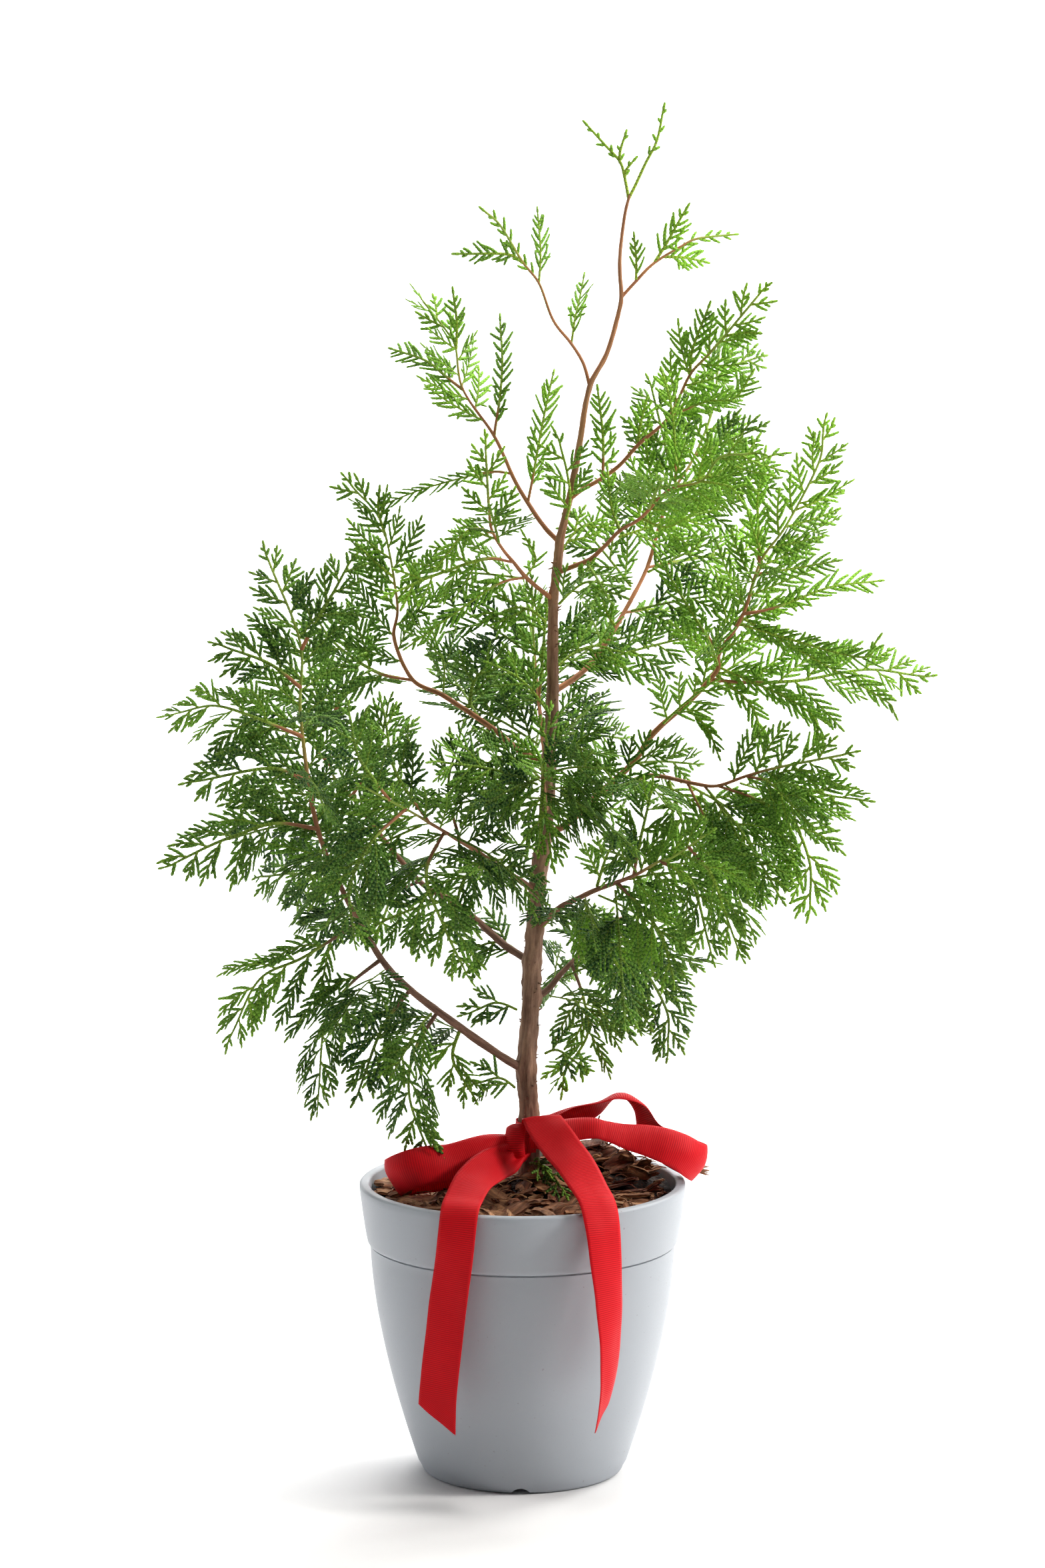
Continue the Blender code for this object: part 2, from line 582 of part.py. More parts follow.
def build_loose_bark():
    for i, (x, y, turn, tilt) in enumerate(CHIP_PLACES):
        build_chip(f"bark_chip_{i + 1}", *beside(x, y), turn, tilt)
    root = bmesh.new()
    points = [drawn(*p) for p in ((26, 38, 207), (33, 38, 213), (43, 37, 215), (52, 36, 210))]
    add_tube(root, smooth_route(points, 7), taper(1.3 * MM, 1.0 * MM, 7), 6, Vector((0, 1, 0)))
    make_object("root_loop", root, "bark")
    husk = bmesh.new()
    points = [Vector((*beside(x, y), up(z)))
              for x, y, z in ((101, 14, 193.5), (108, 16, 194), (117, 18, 192))]
    add_tube(husk, smooth_route(points, 4), taper(1.8 * MM, 3.2 * MM, 4), 6, Vector((0, 1, 0)))
    make_object("bark_fibre", husk, "bark")


# ---------------------------------------------------------------- trunk

def trunk_stations():
    """(x, height, radius) along the trunk, from its foot near the pot's floor."""
    scale = TRUNK_RADIUS / (TRUNK_ROUTE[0][2] * MM)
    rows = [(x * MM, up(z), radius * MM * scale) for x, z, radius in TRUNK_ROUTE]
    return [(rows[0][0], TRUNK_FOOT, rows[0][2])] + rows[1:]


def trunk_at(height):
    """The trunk's x and radius at a height."""
    rows = trunk_stations()
    for (x0, z0, r0), (x1, z1, r1) in zip(rows, rows[1:]):
        if z0 <= height <= z1:
            share = (height - z0) / (z1 - z0)
            return x0 + (x1 - x0) * share, r0 + (r1 - r0) * share
    return rows[-1][0], rows[-1][2]


def trunk_point(height):
    return Vector((trunk_at(height)[0], 0, height))


def trunk_radius(height):
    return trunk_at(height)[1]


def build_trunk():
    """A tapered sleeve with a bore up its middle that is open at the foot, for the steel core."""
    heights = [height for _, height, _ in trunk_stations()]
    outer = [trunk_point(h) for h in heights]
    top = up(CORE_HEIGHT)
    inner_heights = [h for h in heights if h < top - 5 * MM] + [top]
    inner = [trunk_point(h) for h in inner_heights]
    bore = CORE_RADIUS + GAP
    made = bmesh.new()
    side_way = Vector((0, 1, 0))
    shell = tube_rings(made, outer, [trunk_radius(h) for h in heights], TRUNK_SIDES, side_way)
    lining = tube_rings(made, inner, [bore] * len(inner), TRUNK_SIDES, side_way)
    tip = [made.verts.new(outer[-1] + Vector((0, 0, 0.5 * MM)))]
    bore_end = [made.verts.new(inner[-1] + Vector((0, 0, 0.5 * MM)))]
    chain = [bore_end, *reversed(lining), *shell, tip]
    for low, high in zip(chain, chain[1:]):
        join_rings(made, low, high)
    return make_object("trunk", made, "trunk")


def build_core():
    foot = TRUNK_FOOT + 1 * MM
    top = up(CORE_HEIGHT)
    heights = [foot] + [h for _, h, _ in trunk_stations() if foot < h < top - 5 * MM]
    heights.append(top - 1.2 * MM)
    points = [trunk_point(h) for h in heights]
    made = bmesh.new()
    add_tube(made, points, [CORE_RADIUS] * len(points), TRUNK_SIDES, Vector((0, 1, 0)), dome=0.2)
    return make_object("trunk_core", made, "steel")


def build_twigs():
    for i, route in enumerate(LEADER_TWIGS):
        points = [drawn(x, 0, z) for x, z in route]
        made = bmesh.new()
        add_tube(made, smooth_route(points, 6), taper(TWIG_RADIUS, TWIG_RADIUS * 0.8, 6), 6,
                 Vector((0, 1, 0)))
        make_object(f"leader_twig_{i + 1}", made, "foliage")
    for i, route in enumerate(SPRIG_ROUTES):
        points = [drawn(*p) for p in route]
        made = bmesh.new()
        add_tube(made, smooth_route(points, 6), taper(1.1 * MM, 0.8 * MM, 6), 6, Vector((0, 1, 0)))
        make_object(f"trunk_sprig_{i + 1}", made, "foliage")


# ---------------------------------------------------------------- branches

def plane_of(azimuth):
    """Unit vectors of a branch's upright plane: outwards, and across it."""
    turn = math.radians(azimuth)
    return (Vector((math.cos(turn), math.sin(turn), 0)),
            Vector((-math.sin(turn), math.cos(turn), 0)))


def stem_route(root, root_width, clear, points):
    """Flat (out, up) points of a stem, from just clear of what it grows on."""
    start = Vector((0.0, root.z))
    first = points[0]
    way = (first - start).normalized()
    begin = (clear + GAP + root_width * abs(way.y) + 0.35 * root_width) / max(way.x, 0.3)
    flat = [start + way * begin, *[p for p in points if p.x > way.x * begin + 2 * MM or p.y > start.y
                                   + way.y * begin + 4 * MM]]
    return flat


def leaf(route, width):
    """Outline of a leaf shape along a flat route: narrow at its base, pointed at its tip."""
    spots = smooth_route(route, LEAF_STATIONS)
    halves = [0.22, 0.85, 1.0, 0.72, 0.0]
    left, right = [], []
    for i, (spot, half) in enumerate(zip(spots, halves)):
        ahead = spots[min(i + 1, LEAF_STATIONS - 1)]
        behind = spots[max(i - 1, 0)]
        way = (ahead - behind).normalized()
        side = Vector((-way.y, way.x)) * width / 2 * half
        left.append(spot + side)
        if half > 0:
            right.append(spot - side)
    return left + right[::-1]


def spine(route, width):
    """Outline of a strip of even width along a flat route."""
    left, right = [], []
    for i, spot in enumerate(route):
        way = (route[min(i + 1, len(route) - 1)] - route[max(i - 1, 0)]).normalized()
        side = Vector((-way.y, way.x)) * width / 2
        left.append(spot + side)
        right.append(spot - side)
    return left + right[::-1]


def plate(name, outlines, root, outwards, across, offset, thickness):
    """A closed flat solid over the union of the outlines, standing beside a branch's plane."""
    corners, rings = [], []
    for outline in outlines:
        rings.append(list(range(len(corners), len(corners) + len(outline))))
        corners += outline
    points, _, faces, *_ = delaunay_2d_cdt([Vector(c) for c in corners], [], rings, 1, 0.02 * MM)
    made = bmesh.new()

    def stand(flat, depth):
        place = Vector((root.x, root.y, 0)) + outwards * flat.x + Vector((0, 0, flat.y))
        return made.verts.new(place + across * depth)

    near = [stand(p, offset) for p in points]
    far = [stand(p, offset + thickness) for p in points]
    edges = {}
    for face in faces:
        made.faces.new([near[i] for i in face])
        made.faces.new([far[i] for i in reversed(face)])
        for a, b in zip(face, face[1:] + face[:1]):
            edges[(a, b)] = edges.get((a, b), 0) + 1
    for a, b in edges:
        if (b, a) not in edges:
            made.faces.new((near[a], near[b], far[b], far[a]))
    bmesh.ops.delete(made, geom=[v for v in made.verts if not v.link_faces], context="VERTS")
    bmesh.ops.triangulate(made, faces=made.faces)
    return make_object(name, made, "foliage")


def nearest_on(route, point):
    """The closest place to a point on a flat route's straight runs."""
    best = None
    for a, b in zip(route, route[1:]):
        share = min(max((point - a).dot(b - a) / max((b - a).length_squared, 1e-12), 0.0), 1.0)
        place = a.lerp(b, share)
        if best is None or (place - point).length < (best - point).length:
            best = place
    return best


def limb_width(route):
    length = sum((b - a).length for a, b in zip(route, route[1:]))
    narrowest, widest = LIMB_WIDTH_RANGE
    return min(max(LIMB_WIDTH_SHARE * length, narrowest), widest)


def build_branch(spec, root, clear):
    name, azimuth, _, first, last, points, limbs = spec
    points = [Vector((r * MM, up(z))) for r, z in points]
    outwards, across = plane_of(azimuth)
    flat = stem_route(root, first * MM, clear, points)
    count = max(7, min(14, round(len(flat) * 1.3)))
    dense = smooth_route(flat, count)
    solid = [Vector((root.x, root.y, 0)) + outwards * p.x + Vector((0, 0, p.y)) for p in dense]
    made = bmesh.new()
    add_tube(made, solid, taper(first * MM, last * MM, count), STEM_SIDES, across)
    stem = make_object(f"{name}_stem", made, "stem")
    place_origin(stem, root)
    bare = max(1, round(SPRAY_START * count))
    outlines = [spine(dense[bare:], SPRAY_SPINE_WIDTH), leaf(dense[count // 3:], TIP_LEAF_WIDTH)]
    for limb in limbs:
        route = [Vector((r * MM, up(z))) for r, z in limb]
        base = nearest_on(dense[bare:], route[0])
        if (base - route[0]).length > 0.5 * MM:
            route[0] = base
        outlines.append(leaf(route, limb_width(route)))
    offset = first * MM + GAP
    spray = plate(f"{name}_spray", outlines, root, outwards, across, offset, SPRAY_THICKNESS)
    place_origin(spray, root)
    return solid


def build_branches():
    routes = {}
    for spec in BRANCHES:
        height = up(spec[2])
        root = trunk_point(height)
        routes[spec[0]] = build_branch(spec, root, trunk_radius(height))
    parent = routes[FORK_PARENT]
    base = min(parent, key=lambda p: abs((p.xy - parent[0].xy).length - FORK_REACH))
    build_branch(FORK, Vector((base.x, base.y, base.z - FORK_DROP)), 0.0)


# ---------------------------------------------------------------- ribbon

def build_strip(name, stations, count):
    """A thin band that follows the stations, each a centre and the way its width points."""
    centres = smooth_route([ribbon_place(c, w) for c, w in stations], count)
    keys = [Vector(w).normalized() for _, w in stations]
    made = bmesh.new()
    rings = []
    for i, centre in enumerate(centres):
        share = i / (count - 1) * (len(keys) - 1)
        low = min(int(share), len(keys) - 2)
        width = keys[low].lerp(keys[low + 1], share - low)
        along = (centres[min(i + 1, count - 1)] - centres[max(i - 1, 0)]).normalized()
        width = (width - along * width.dot(along)).normalized() * RIBBON_WIDTH / 2
        thick = along.cross(width).normalized() * RIBBON_THICKNESS / 2
        rings.append([made.verts.new(centre + width + thick), made.verts.new(centre + width - thick),
                      made.verts.new(centre - width - thick), made.verts.new(centre - width + thick)])
    for low, high in zip(rings, rings[1:]):
        join_rings(made, low, high)
    made.faces.new(rings[0])
    made.faces.new(rings[-1])
    bmesh.ops.triangulate(made, faces=made.faces)
    return make_object(name, made, "ribbon")


def build_ribbon():
    height = up(WRAP_PLACE)
    middle = trunk_point(height)
    inner = trunk_radius(height) + 2 * GAP
    outer = inner + WRAP_WALL
    low, high = height - WRAP_HEIGHT / 2, height + WRAP_HEIGHT / 2
    wrap = turned("ribbon_wrap", [(inner, low), (outer, low), (outer, high), (inner, high)],
                  "ribbon", segments=20, hole=inner)
    wrap.location = (middle.x, 0, 0)
    knot = bmesh.new()
    bmesh.ops.create_icosphere(knot, subdivisions=2, radius=0.5)
    for vert in knot.verts:
        vert.co = Vector((vert.co.x * KNOT_SIZE[0], vert.co.y * KNOT_SIZE[1],
                          vert.co.z * KNOT_SIZE[2])) + drawn(*KNOT_PLACE)
    make_object("ribbon_knot", knot, "ribbon")
    build_strip("ribbon_tail_left", TAIL_LEFT, 18)
    build_strip("ribbon_tail_right", TAIL_RIGHT, 22)
    build_strip("ribbon_loop_left", LOOP_LEFT, 22)
    build_strip("ribbon_loop_right", LOOP_RIGHT, 30)


def main():
    clear_scene()
    build_pot()
    build_ballast()
    build_soil()
    build_bark_bed()
    build_loose_bark()
    build_trunk()
    build_core()
    build_twigs()
    build_branches()
    build_ribbon()


main()
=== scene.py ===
"""Finished surfaces of a small potted evergreen tree with a ribbon bow, laid over its CAD frame."""
import json
import math
import random

import bpy
import numpy as np
from mathutils import Euler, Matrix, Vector, noise


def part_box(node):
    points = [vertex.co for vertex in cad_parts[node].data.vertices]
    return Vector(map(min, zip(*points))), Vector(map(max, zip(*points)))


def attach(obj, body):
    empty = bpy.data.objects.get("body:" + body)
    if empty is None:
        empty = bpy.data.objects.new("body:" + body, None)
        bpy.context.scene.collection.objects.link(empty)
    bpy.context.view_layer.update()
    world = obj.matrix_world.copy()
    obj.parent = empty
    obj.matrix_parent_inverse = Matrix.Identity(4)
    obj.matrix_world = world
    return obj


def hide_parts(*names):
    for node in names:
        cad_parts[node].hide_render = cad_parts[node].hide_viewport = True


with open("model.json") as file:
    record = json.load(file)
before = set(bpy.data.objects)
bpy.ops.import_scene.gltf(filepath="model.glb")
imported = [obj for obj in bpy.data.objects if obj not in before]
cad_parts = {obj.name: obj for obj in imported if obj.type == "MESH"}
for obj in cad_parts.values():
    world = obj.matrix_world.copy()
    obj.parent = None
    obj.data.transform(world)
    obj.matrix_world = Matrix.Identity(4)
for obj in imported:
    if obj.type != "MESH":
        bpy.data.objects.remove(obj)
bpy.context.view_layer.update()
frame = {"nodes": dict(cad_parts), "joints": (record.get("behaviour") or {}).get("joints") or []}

bl_info = {
    "name": "Tabletop tree surfaces",
    "version": (1, 0, 0),
    "blender": (4, 5, 0),
    "location": "View3D > Sidebar > Tree",
    "description": "Builds a potted evergreen tree with scale-leaf sprays, bark mulch and a ribbon bow",
    "category": "Add Mesh",
}

MM = 0.001
JOINTS = {joint["child"]: joint for joint in frame["joints"]}
# The pot's lowest and highest corners in the CAD, in metres; no shape below reads them
POT_LOW, POT_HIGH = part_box("pot")

# The trunk's middle line: x, z and radius in mm
TRUNK_ROUTE = [
    (4, 150, 6.3), (4, 185, 6.6), (4, 232, 6.3), (3, 262, 6.1), (5, 300, 5.9), (7, 340, 5.7),
    (9, 375, 5.3), (13, 410, 5.0), (16, 440, 4.6), (17, 470, 4.2), (19, 500, 3.7),
    (19, 540, 3.3), (20, 568, 3.0), (24, 604, 2.5), (30, 632, 2.1), (36, 665, 1.9),
    (42, 700, 1.6), (53, 722, 1.5), (60, 746, 1.4), (62, 758, 1.3), (61, 781, 1.15),
    (64, 808, 1.0), (67, 821, 0.9),
]
# Twigs at the trunk's top: x and z of their points in mm
LEADERS = [[(66.5, 819), (64, 832), (61, 842), (52, 852), (41, 864)],
           [(66.5, 819), (71, 828), (77, 841), (84, 855), (88, 874)],
           [(61, 841), (61, 848), (64, 858)], [(64, 832), (65, 837), (69, 842)]]
# Short shoots on the trunk: x, y, z of their points in mm
SHOOTS = [[(-2, -2, 249), (-14, -9, 259), (-28, -14, 257)],
          [(11, -2, 272), (22, -7, 277), (34, -11, 270)],
          [(0, 1, 300), (-16, -3, 307), (-30, -8, 303)],
          [(9, -2, 352), (22, -16, 366), (34, -24, 362), (44, -30, 348)],
          [(6, 2, 330), (-10, 14, 342), (-26, 20, 340), (-38, 22, 328)],
          [(13, -2, 398), (4, -22, 412), (-8, -34, 410), (-18, -40, 398)],
          [(15, 3, 420), (30, 16, 434), (44, 26, 434), (56, 34, 424)],
          [(17, -3, 462), (30, -18, 474), (42, -28, 472), (54, -36, 460)],
          [(16, 3, 446), (0, 16, 460), (-14, 24, 462), (-26, 30, 454)],
          [(18, -2, 492), (6, -14, 510), (-4, -20, 520), (-14, -26, 526)],
          [(19, 2, 520), (32, 12, 530), (46, 20, 534), (60, 26, 530)],
          [(19, -2, 548), (6, -8, 560), (-6, -10, 562), (-20, -12, 556)],
          [(20, 0, 560), (32, -14, 574), (42, -20, 580), (54, -24, 578)],
          [(22, 1, 590), (30, 10, 604), (40, 16, 612), (50, 20, 612)],
          [(26, -1, 612), (30, -8, 630), (28, -10, 648), (24, -12, 664)],
          [(2, -6, 201), (8, -16, 205), (18, -26, 200), (24, -34, 194)],
          [(6, -5, 203), (10, -15, 208), (10, -26, 204)]]
# How many more short limbs each branch carries, out to both sides of its plane, and how far to the
# front or the back such a limb may point, in metres
REACH = 0.118
FILL = {"low_left": 12, "back_left": 4, "front_left": 5, "mid_left": 1, "front_left_upper": 2,
        "upper_right": 2, "front_right_upper": 4, "back_right_upper": 9, "right": 8,
        "right_fork": 5, "front_right_low": 8, "back_right_low": 6, "front": 10, "back": 10}

# Each branch: radius at the root (mm), tone, sag, then the stem and its limbs, each point being
# (distance out from the root, height) in mm. The root and the plane come from the branch's joint.
# The tone is partly the green that old and young growth really have and partly painted shade on low
# branches and painted light on high ones.
BRANCHES = {
    "low_left": (2.9, 0.10, 0.55,
        [(15, 271), (36, 286), (62, 306), (79, 320), (99, 342), (126, 391), (142, 434), (151, 500),
         (151, 545), (171, 597)],
        [[(141, 426), (168, 432), (193, 426), (211, 420), (232, 411)],
         [(116, 363), (150, 346), (180, 334), (199, 302)],
         [(99, 342), (119, 326), (135, 304), (139, 253)],
         [(79, 320), (98, 297), (114, 260)],
         [(61, 306), (77, 280), (81, 251), (69, 213)],
         [(46, 294), (51, 274), (41, 254)],
         [(149, 458), (171, 467), (217, 461)],
         [(151, 487), (184, 501), (209, 509), (233, 506)],
         [(151, 517), (171, 533), (198, 544)],
         [(151, 542), (133, 573), (124, 592)]]),
    "back_left": (2.6, 0.22, 0.35,
        [(23, 342), (43, 355), (63, 366), (89, 376), (125, 408), (144, 427), (161, 446), (155, 498)],
        [[(125, 408), (151, 401), (177, 383), (196, 355)],
         [(89, 376), (113, 364), (132, 338)],
         [(161, 446), (183, 463), (215, 467)],
         [(156, 472), (173, 501), (174, 532)],
         [(155, 482), (134, 515), (129, 553)],
         [(144, 427), (125, 454), (119, 485)]]),
    "front_left": (2.2, 0.20, 0.45,
        [(17, 388), (35, 398), (61, 413), (91, 429), (128, 448), (162, 464)],
        [[(45, 404), (70, 394), (73, 368)],
         [(91, 429), (109, 404), (94, 368), (79, 341)],
         [(128, 448), (157, 430), (172, 403), (162, 373)],
         [(76, 422), (88, 456), (79, 487)],
         [(106, 437), (132, 471), (135, 507)],
         [(143, 454), (172, 485), (182, 510)]]),
    "mid_left": (2.1, 0.32, 0.15,
        [(21, 470), (38, 483), (69, 502), (90, 512), (102, 538), (100, 561), (110, 611), (129, 634)],
        [[(89, 512), (116, 516), (148, 535), (166, 560)],
         [(100, 561), (86, 572), (92, 589)],
         [(105, 577), (115, 587), (125, 596)],
         [(54, 493), (48, 513), (32, 529)],
         [(69, 502), (69, 528), (82, 547)],
         [(110, 603), (112, 619), (111, 631)]]),
    "front_left_upper": (1.7, 0.72, 0.10,
        [(8, 571), (23, 582), (33, 592), (42, 601), (50, 612), (53, 623), (56, 664)],
        [[(33, 592), (56, 596), (92, 588), (116, 580)],
         [(50, 612), (71, 615), (99, 594)],
         [(23, 582), (44, 579), (71, 561), (95, 541)],
         [(23, 582), (14, 593), (20, 607)]]),
    "upper_left": (1.7, 0.62, 0.05,
        [(11, 612), (22, 626), (32, 641), (46, 668), (68, 697), (73, 723), (79, 733), (96, 752)],
        [[(68, 697), (78, 703), (96, 714), (122, 720)],
         [(46, 668), (44, 691), (46, 715), (53, 739)],
         [(73, 723), (72, 739), (74, 757)],
         [(36, 645), (50, 645), (86, 635), (112, 624)],
         [(22, 626), (19, 649), (14, 706)]]),
    "top_left": (1.2, 0.68, 0.05,
        [(5, 716), (14, 729), (27, 744), (37, 767), (49, 781), (65, 804), (76, 813)],
        [[(49, 781), (60, 786), (91, 787)],
         [(37, 767), (36, 787), (38, 811)],
         [(14, 729), (9, 745), (-3, 768)]]),
    "top_right": (1.2, 0.85, 0.05,
        [(10, 767), (22, 778), (40, 788), (52, 793), (76, 795)],
        [[(10, 767), (10, 780), (8, 794)],
         [(24, 778), (30, 791), (39, 811)],
         [(29, 782), (44, 781), (58, 778)]]),
    "upper_right": (1.6, 0.80, 0.08,
        [(8, 636), (22, 644), (34, 653), (46, 666), (66, 684), (80, 711), (94, 726), (124, 761)],
        [[(22, 644), (23, 670), (21, 699)],
         [(66, 684), (93, 695), (113, 698), (127, 714)],
         [(80, 711), (82, 727), (94, 753)],
         [(102, 736), (115, 738), (124, 738)],
         [(46, 666), (48, 681), (52, 694)]]),
    "front_right_upper": (1.7, 0.78, 0.10,
        [(13, 588), (28, 594), (40, 603), (53, 614), (70, 623), (87, 638), (97, 644), (120, 650),
         (134, 665), (157, 669)],
        [[(120, 650), (145, 648), (157, 641)],
         [(53, 614), (46, 628), (43, 651)],
         [(97, 644), (100, 666), (102, 696), (100, 717)],
         [(70, 623), (91, 619), (108, 626)]]),
    "back_right_upper": (2.0, 0.60, 0.12,
        [(20, 513), (38, 521), (53, 533), (72, 551), (95, 577), (108, 604), (121, 624), (145, 647),
         (164, 678), (170, 715)],
        [[(95, 577), (114, 579), (135, 580), (194, 583)],
         [(63, 542), (55, 552), (46, 571)],
         [(145, 647), (172, 656), (194, 663)],
         [(72, 550), (106, 550), (135, 540)],
         [(107, 604), (130, 611), (160, 617)]]),
    "right": (2.4, 0.70, 0.22,
        [(14, 422), (34, 441), (57, 463), (71, 483), (96, 506), (111, 524), (112, 534), (127, 559),
         (138, 593), (154, 616), (174, 655), (177, 675)],
        [[(107, 516), (128, 516), (162, 517), (202, 523), (234, 518)],
         [(180, 521), (200, 535), (213, 546)],
         [(127, 559), (148, 564), (180, 576), (209, 579)],
         [(136, 591), (136, 616), (135, 634), (138, 660)],
         [(159, 625), (174, 632), (191, 642)],
         [(134, 586), (153, 588), (185, 594)],
         [(117, 516), (133, 501), (140, 474)],
         [(148, 515), (169, 501), (178, 480)],
         [(112, 534), (99, 553), (74, 593)],
         [(199, 523), (212, 510), (223, 499)],
         [(91, 500), (105, 487), (113, 471)]]),
    "right_fork": (1.7, 0.42, 0.45,
        [(14, 452), (30, 457), (60, 454), (76, 454), (97, 462), (119, 469), (163, 480)],
        [[(97, 462), (125, 458), (147, 452), (163, 450)],
         [(76, 454), (103, 448), (130, 436), (144, 412), (146, 388)],
         [(66, 454), (88, 432), (108, 409), (120, 393)],
         [(54, 454), (69, 426), (80, 392), (88, 363)],
         [(39, 457), (48, 434), (52, 414)]]),
    "front_right_low": (2.3, 0.30, 0.50,
        [(12, 362), (21, 369), (34, 376), (61, 388), (95, 401), (119, 413), (133, 418), (162, 435)],
        [[(122, 414), (149, 403), (159, 364)],
         [(147, 426), (167, 412), (175, 394), (185, 369)],
         [(95, 401), (102, 422), (116, 456)],
         [(61, 388), (69, 409), (81, 428)],
         [(81, 395), (108, 380), (125, 366), (135, 347)],
         [(46, 381), (60, 363), (73, 343)]]),
    "back_right_low": (2.5, 0.16, 0.50,
        [(14, 313), (25, 322), (35, 329), (46, 336), (61, 351)],
        [[(53, 344), (79, 331), (99, 313), (117, 285), (118, 264)],
         [(46, 336), (62, 317), (77, 292)],
         [(33, 328), (46, 302), (51, 278), (33, 253)],
         [(61, 351), (86, 352), (116, 345), (140, 334)]]),
    "front": (1.9, 0.35, 0.30,
        [(14, 437), (34, 447), (58, 461), (92, 474)],
        [[(40, 450), (56, 436), (63, 415)],
         [(58, 461), (80, 452), (98, 434)],
         [(46, 454), (52, 474), (50, 496)]]),
    "back": (2.0, 0.30, 0.25,
        [(15, 461), (38, 478), (64, 500), (86, 528), (98, 560)],
        [[(38, 478), (62, 470), (84, 450)],
         [(64, 500), (92, 500), (122, 486)],
         [(86, 528), (108, 538), (126, 556)],
         [(56, 493), (50, 520), (56, 548)]]),
}


# ---------------------------------------------------------------- settings

class TreeFoliage(bpy.types.PropertyGroup):
    leaflet_length: bpy.props.FloatProperty(
        name="Leaflet length", description="Length of the longest flat scale-leaf twig",
        default=0.0138, unit="LENGTH")
    leaflet_width: bpy.props.FloatProperty(
        name="Leaflet width", description="Width of a flat scale-leaf twig",
        default=0.0023, unit="LENGTH")
    scale_pitch: bpy.props.FloatProperty(
        name="Scale pitch", description="Distance between pairs of scale leaves along a twig",
        default=0.0026, unit="LENGTH")
    frond_gap: bpy.props.FloatProperty(
        name="Frond gap", description="Distance between side fronds along a limb",
        default=0.0088, unit="LENGTH")
    frond_length: bpy.props.FloatProperty(
        name="Frond length", description="Length of the longest side frond",
        default=0.046, unit="LENGTH")
    # Shaded green: partly the darker green of old leaves and partly painted shade on low and inner foliage
    shade: bpy.props.FloatVectorProperty(
        name="Shaded green", description="Colour of old and low leaves", subtype="COLOR",
        default=(0.010, 0.055, 0.010))
    # Light green: partly the paler green of young growth and partly painted light on the high foliage
    light: bpy.props.FloatVectorProperty(
        name="Light green", description="Colour of young and high leaves", subtype="COLOR",
        default=(0.240, 0.520, 0.030))
    rachis: bpy.props.FloatVectorProperty(
        name="Green stalk", description="Colour of the yellow-green stalks", subtype="COLOR",
        default=(0.270, 0.380, 0.030))


class TreeWood(bpy.types.PropertyGroup):
    bark: bpy.props.FloatVectorProperty(
        name="Bark", description="Colour of the trunk's ridges", subtype="COLOR",
        default=(0.360, 0.205, 0.125))
    twig: bpy.props.FloatVectorProperty(
        name="Twig", description="Colour of the thin woody stems", subtype="COLOR",
        default=(0.420, 0.160, 0.060))
    chip: bpy.props.FloatVectorProperty(
        name="Chip", description="Colour of the bark chips", subtype="COLOR",
        default=(0.290, 0.095, 0.038))


class TreePot(bpy.types.PropertyGroup):
    color: bpy.props.FloatVectorProperty(
        name="Pot", description="Colour of the pot's plastic", subtype="COLOR",
        default=(0.350, 0.374, 0.408))


class TreeRibbon(bpy.types.PropertyGroup):
    color: bpy.props.FloatVectorProperty(
        name="Ribbon", description="Colour of the ribbon", subtype="COLOR",
        default=(0.700, 0.004, 0.010))


# ---------------------------------------------------------------- mesh tools

def unit(vectors):
    """Vectors along the last axis, each made one long."""
    return vectors / np.maximum(np.linalg.norm(vectors, axis=-1, keepdims=True), 1e-12)


def smooth_path(points, spacing):
    """A curve through the points, with stations the same distance apart."""
    keys = np.array(points, float)
    keys = np.vstack([2 * keys[0] - keys[1], keys, 2 * keys[-1] - keys[-2]])
    fine = []
    for a, b, c, d in zip(keys, keys[1:], keys[2:], keys[3:]):
        for t in np.arange(0, 1, 0.05):
            fine.append(0.5 * (2 * b + (c - a) * t + (2 * a - 5 * b + 4 * c - d) * t * t
                               + (3 * b - a - 3 * c + d) * t ** 3))
    fine = np.array([*fine, keys[-2]])
    run = np.concatenate([[0], np.cumsum(np.linalg.norm(np.diff(fine, axis=0), axis=1))])
    count = max(3, int(round(run[-1] / spacing)) + 1)
    stops = np.linspace(0, run[-1], count)
    return np.stack([np.interp(stops, run, fine[:, i]) for i in range(3)], axis=1), stops


def ways_of(path):
    """The way a path runs at each of its stations."""
    return unit(np.gradient(path, axis=0))


def in_metres(points):
    return [tuple(c * MM for c in point) for point in points]


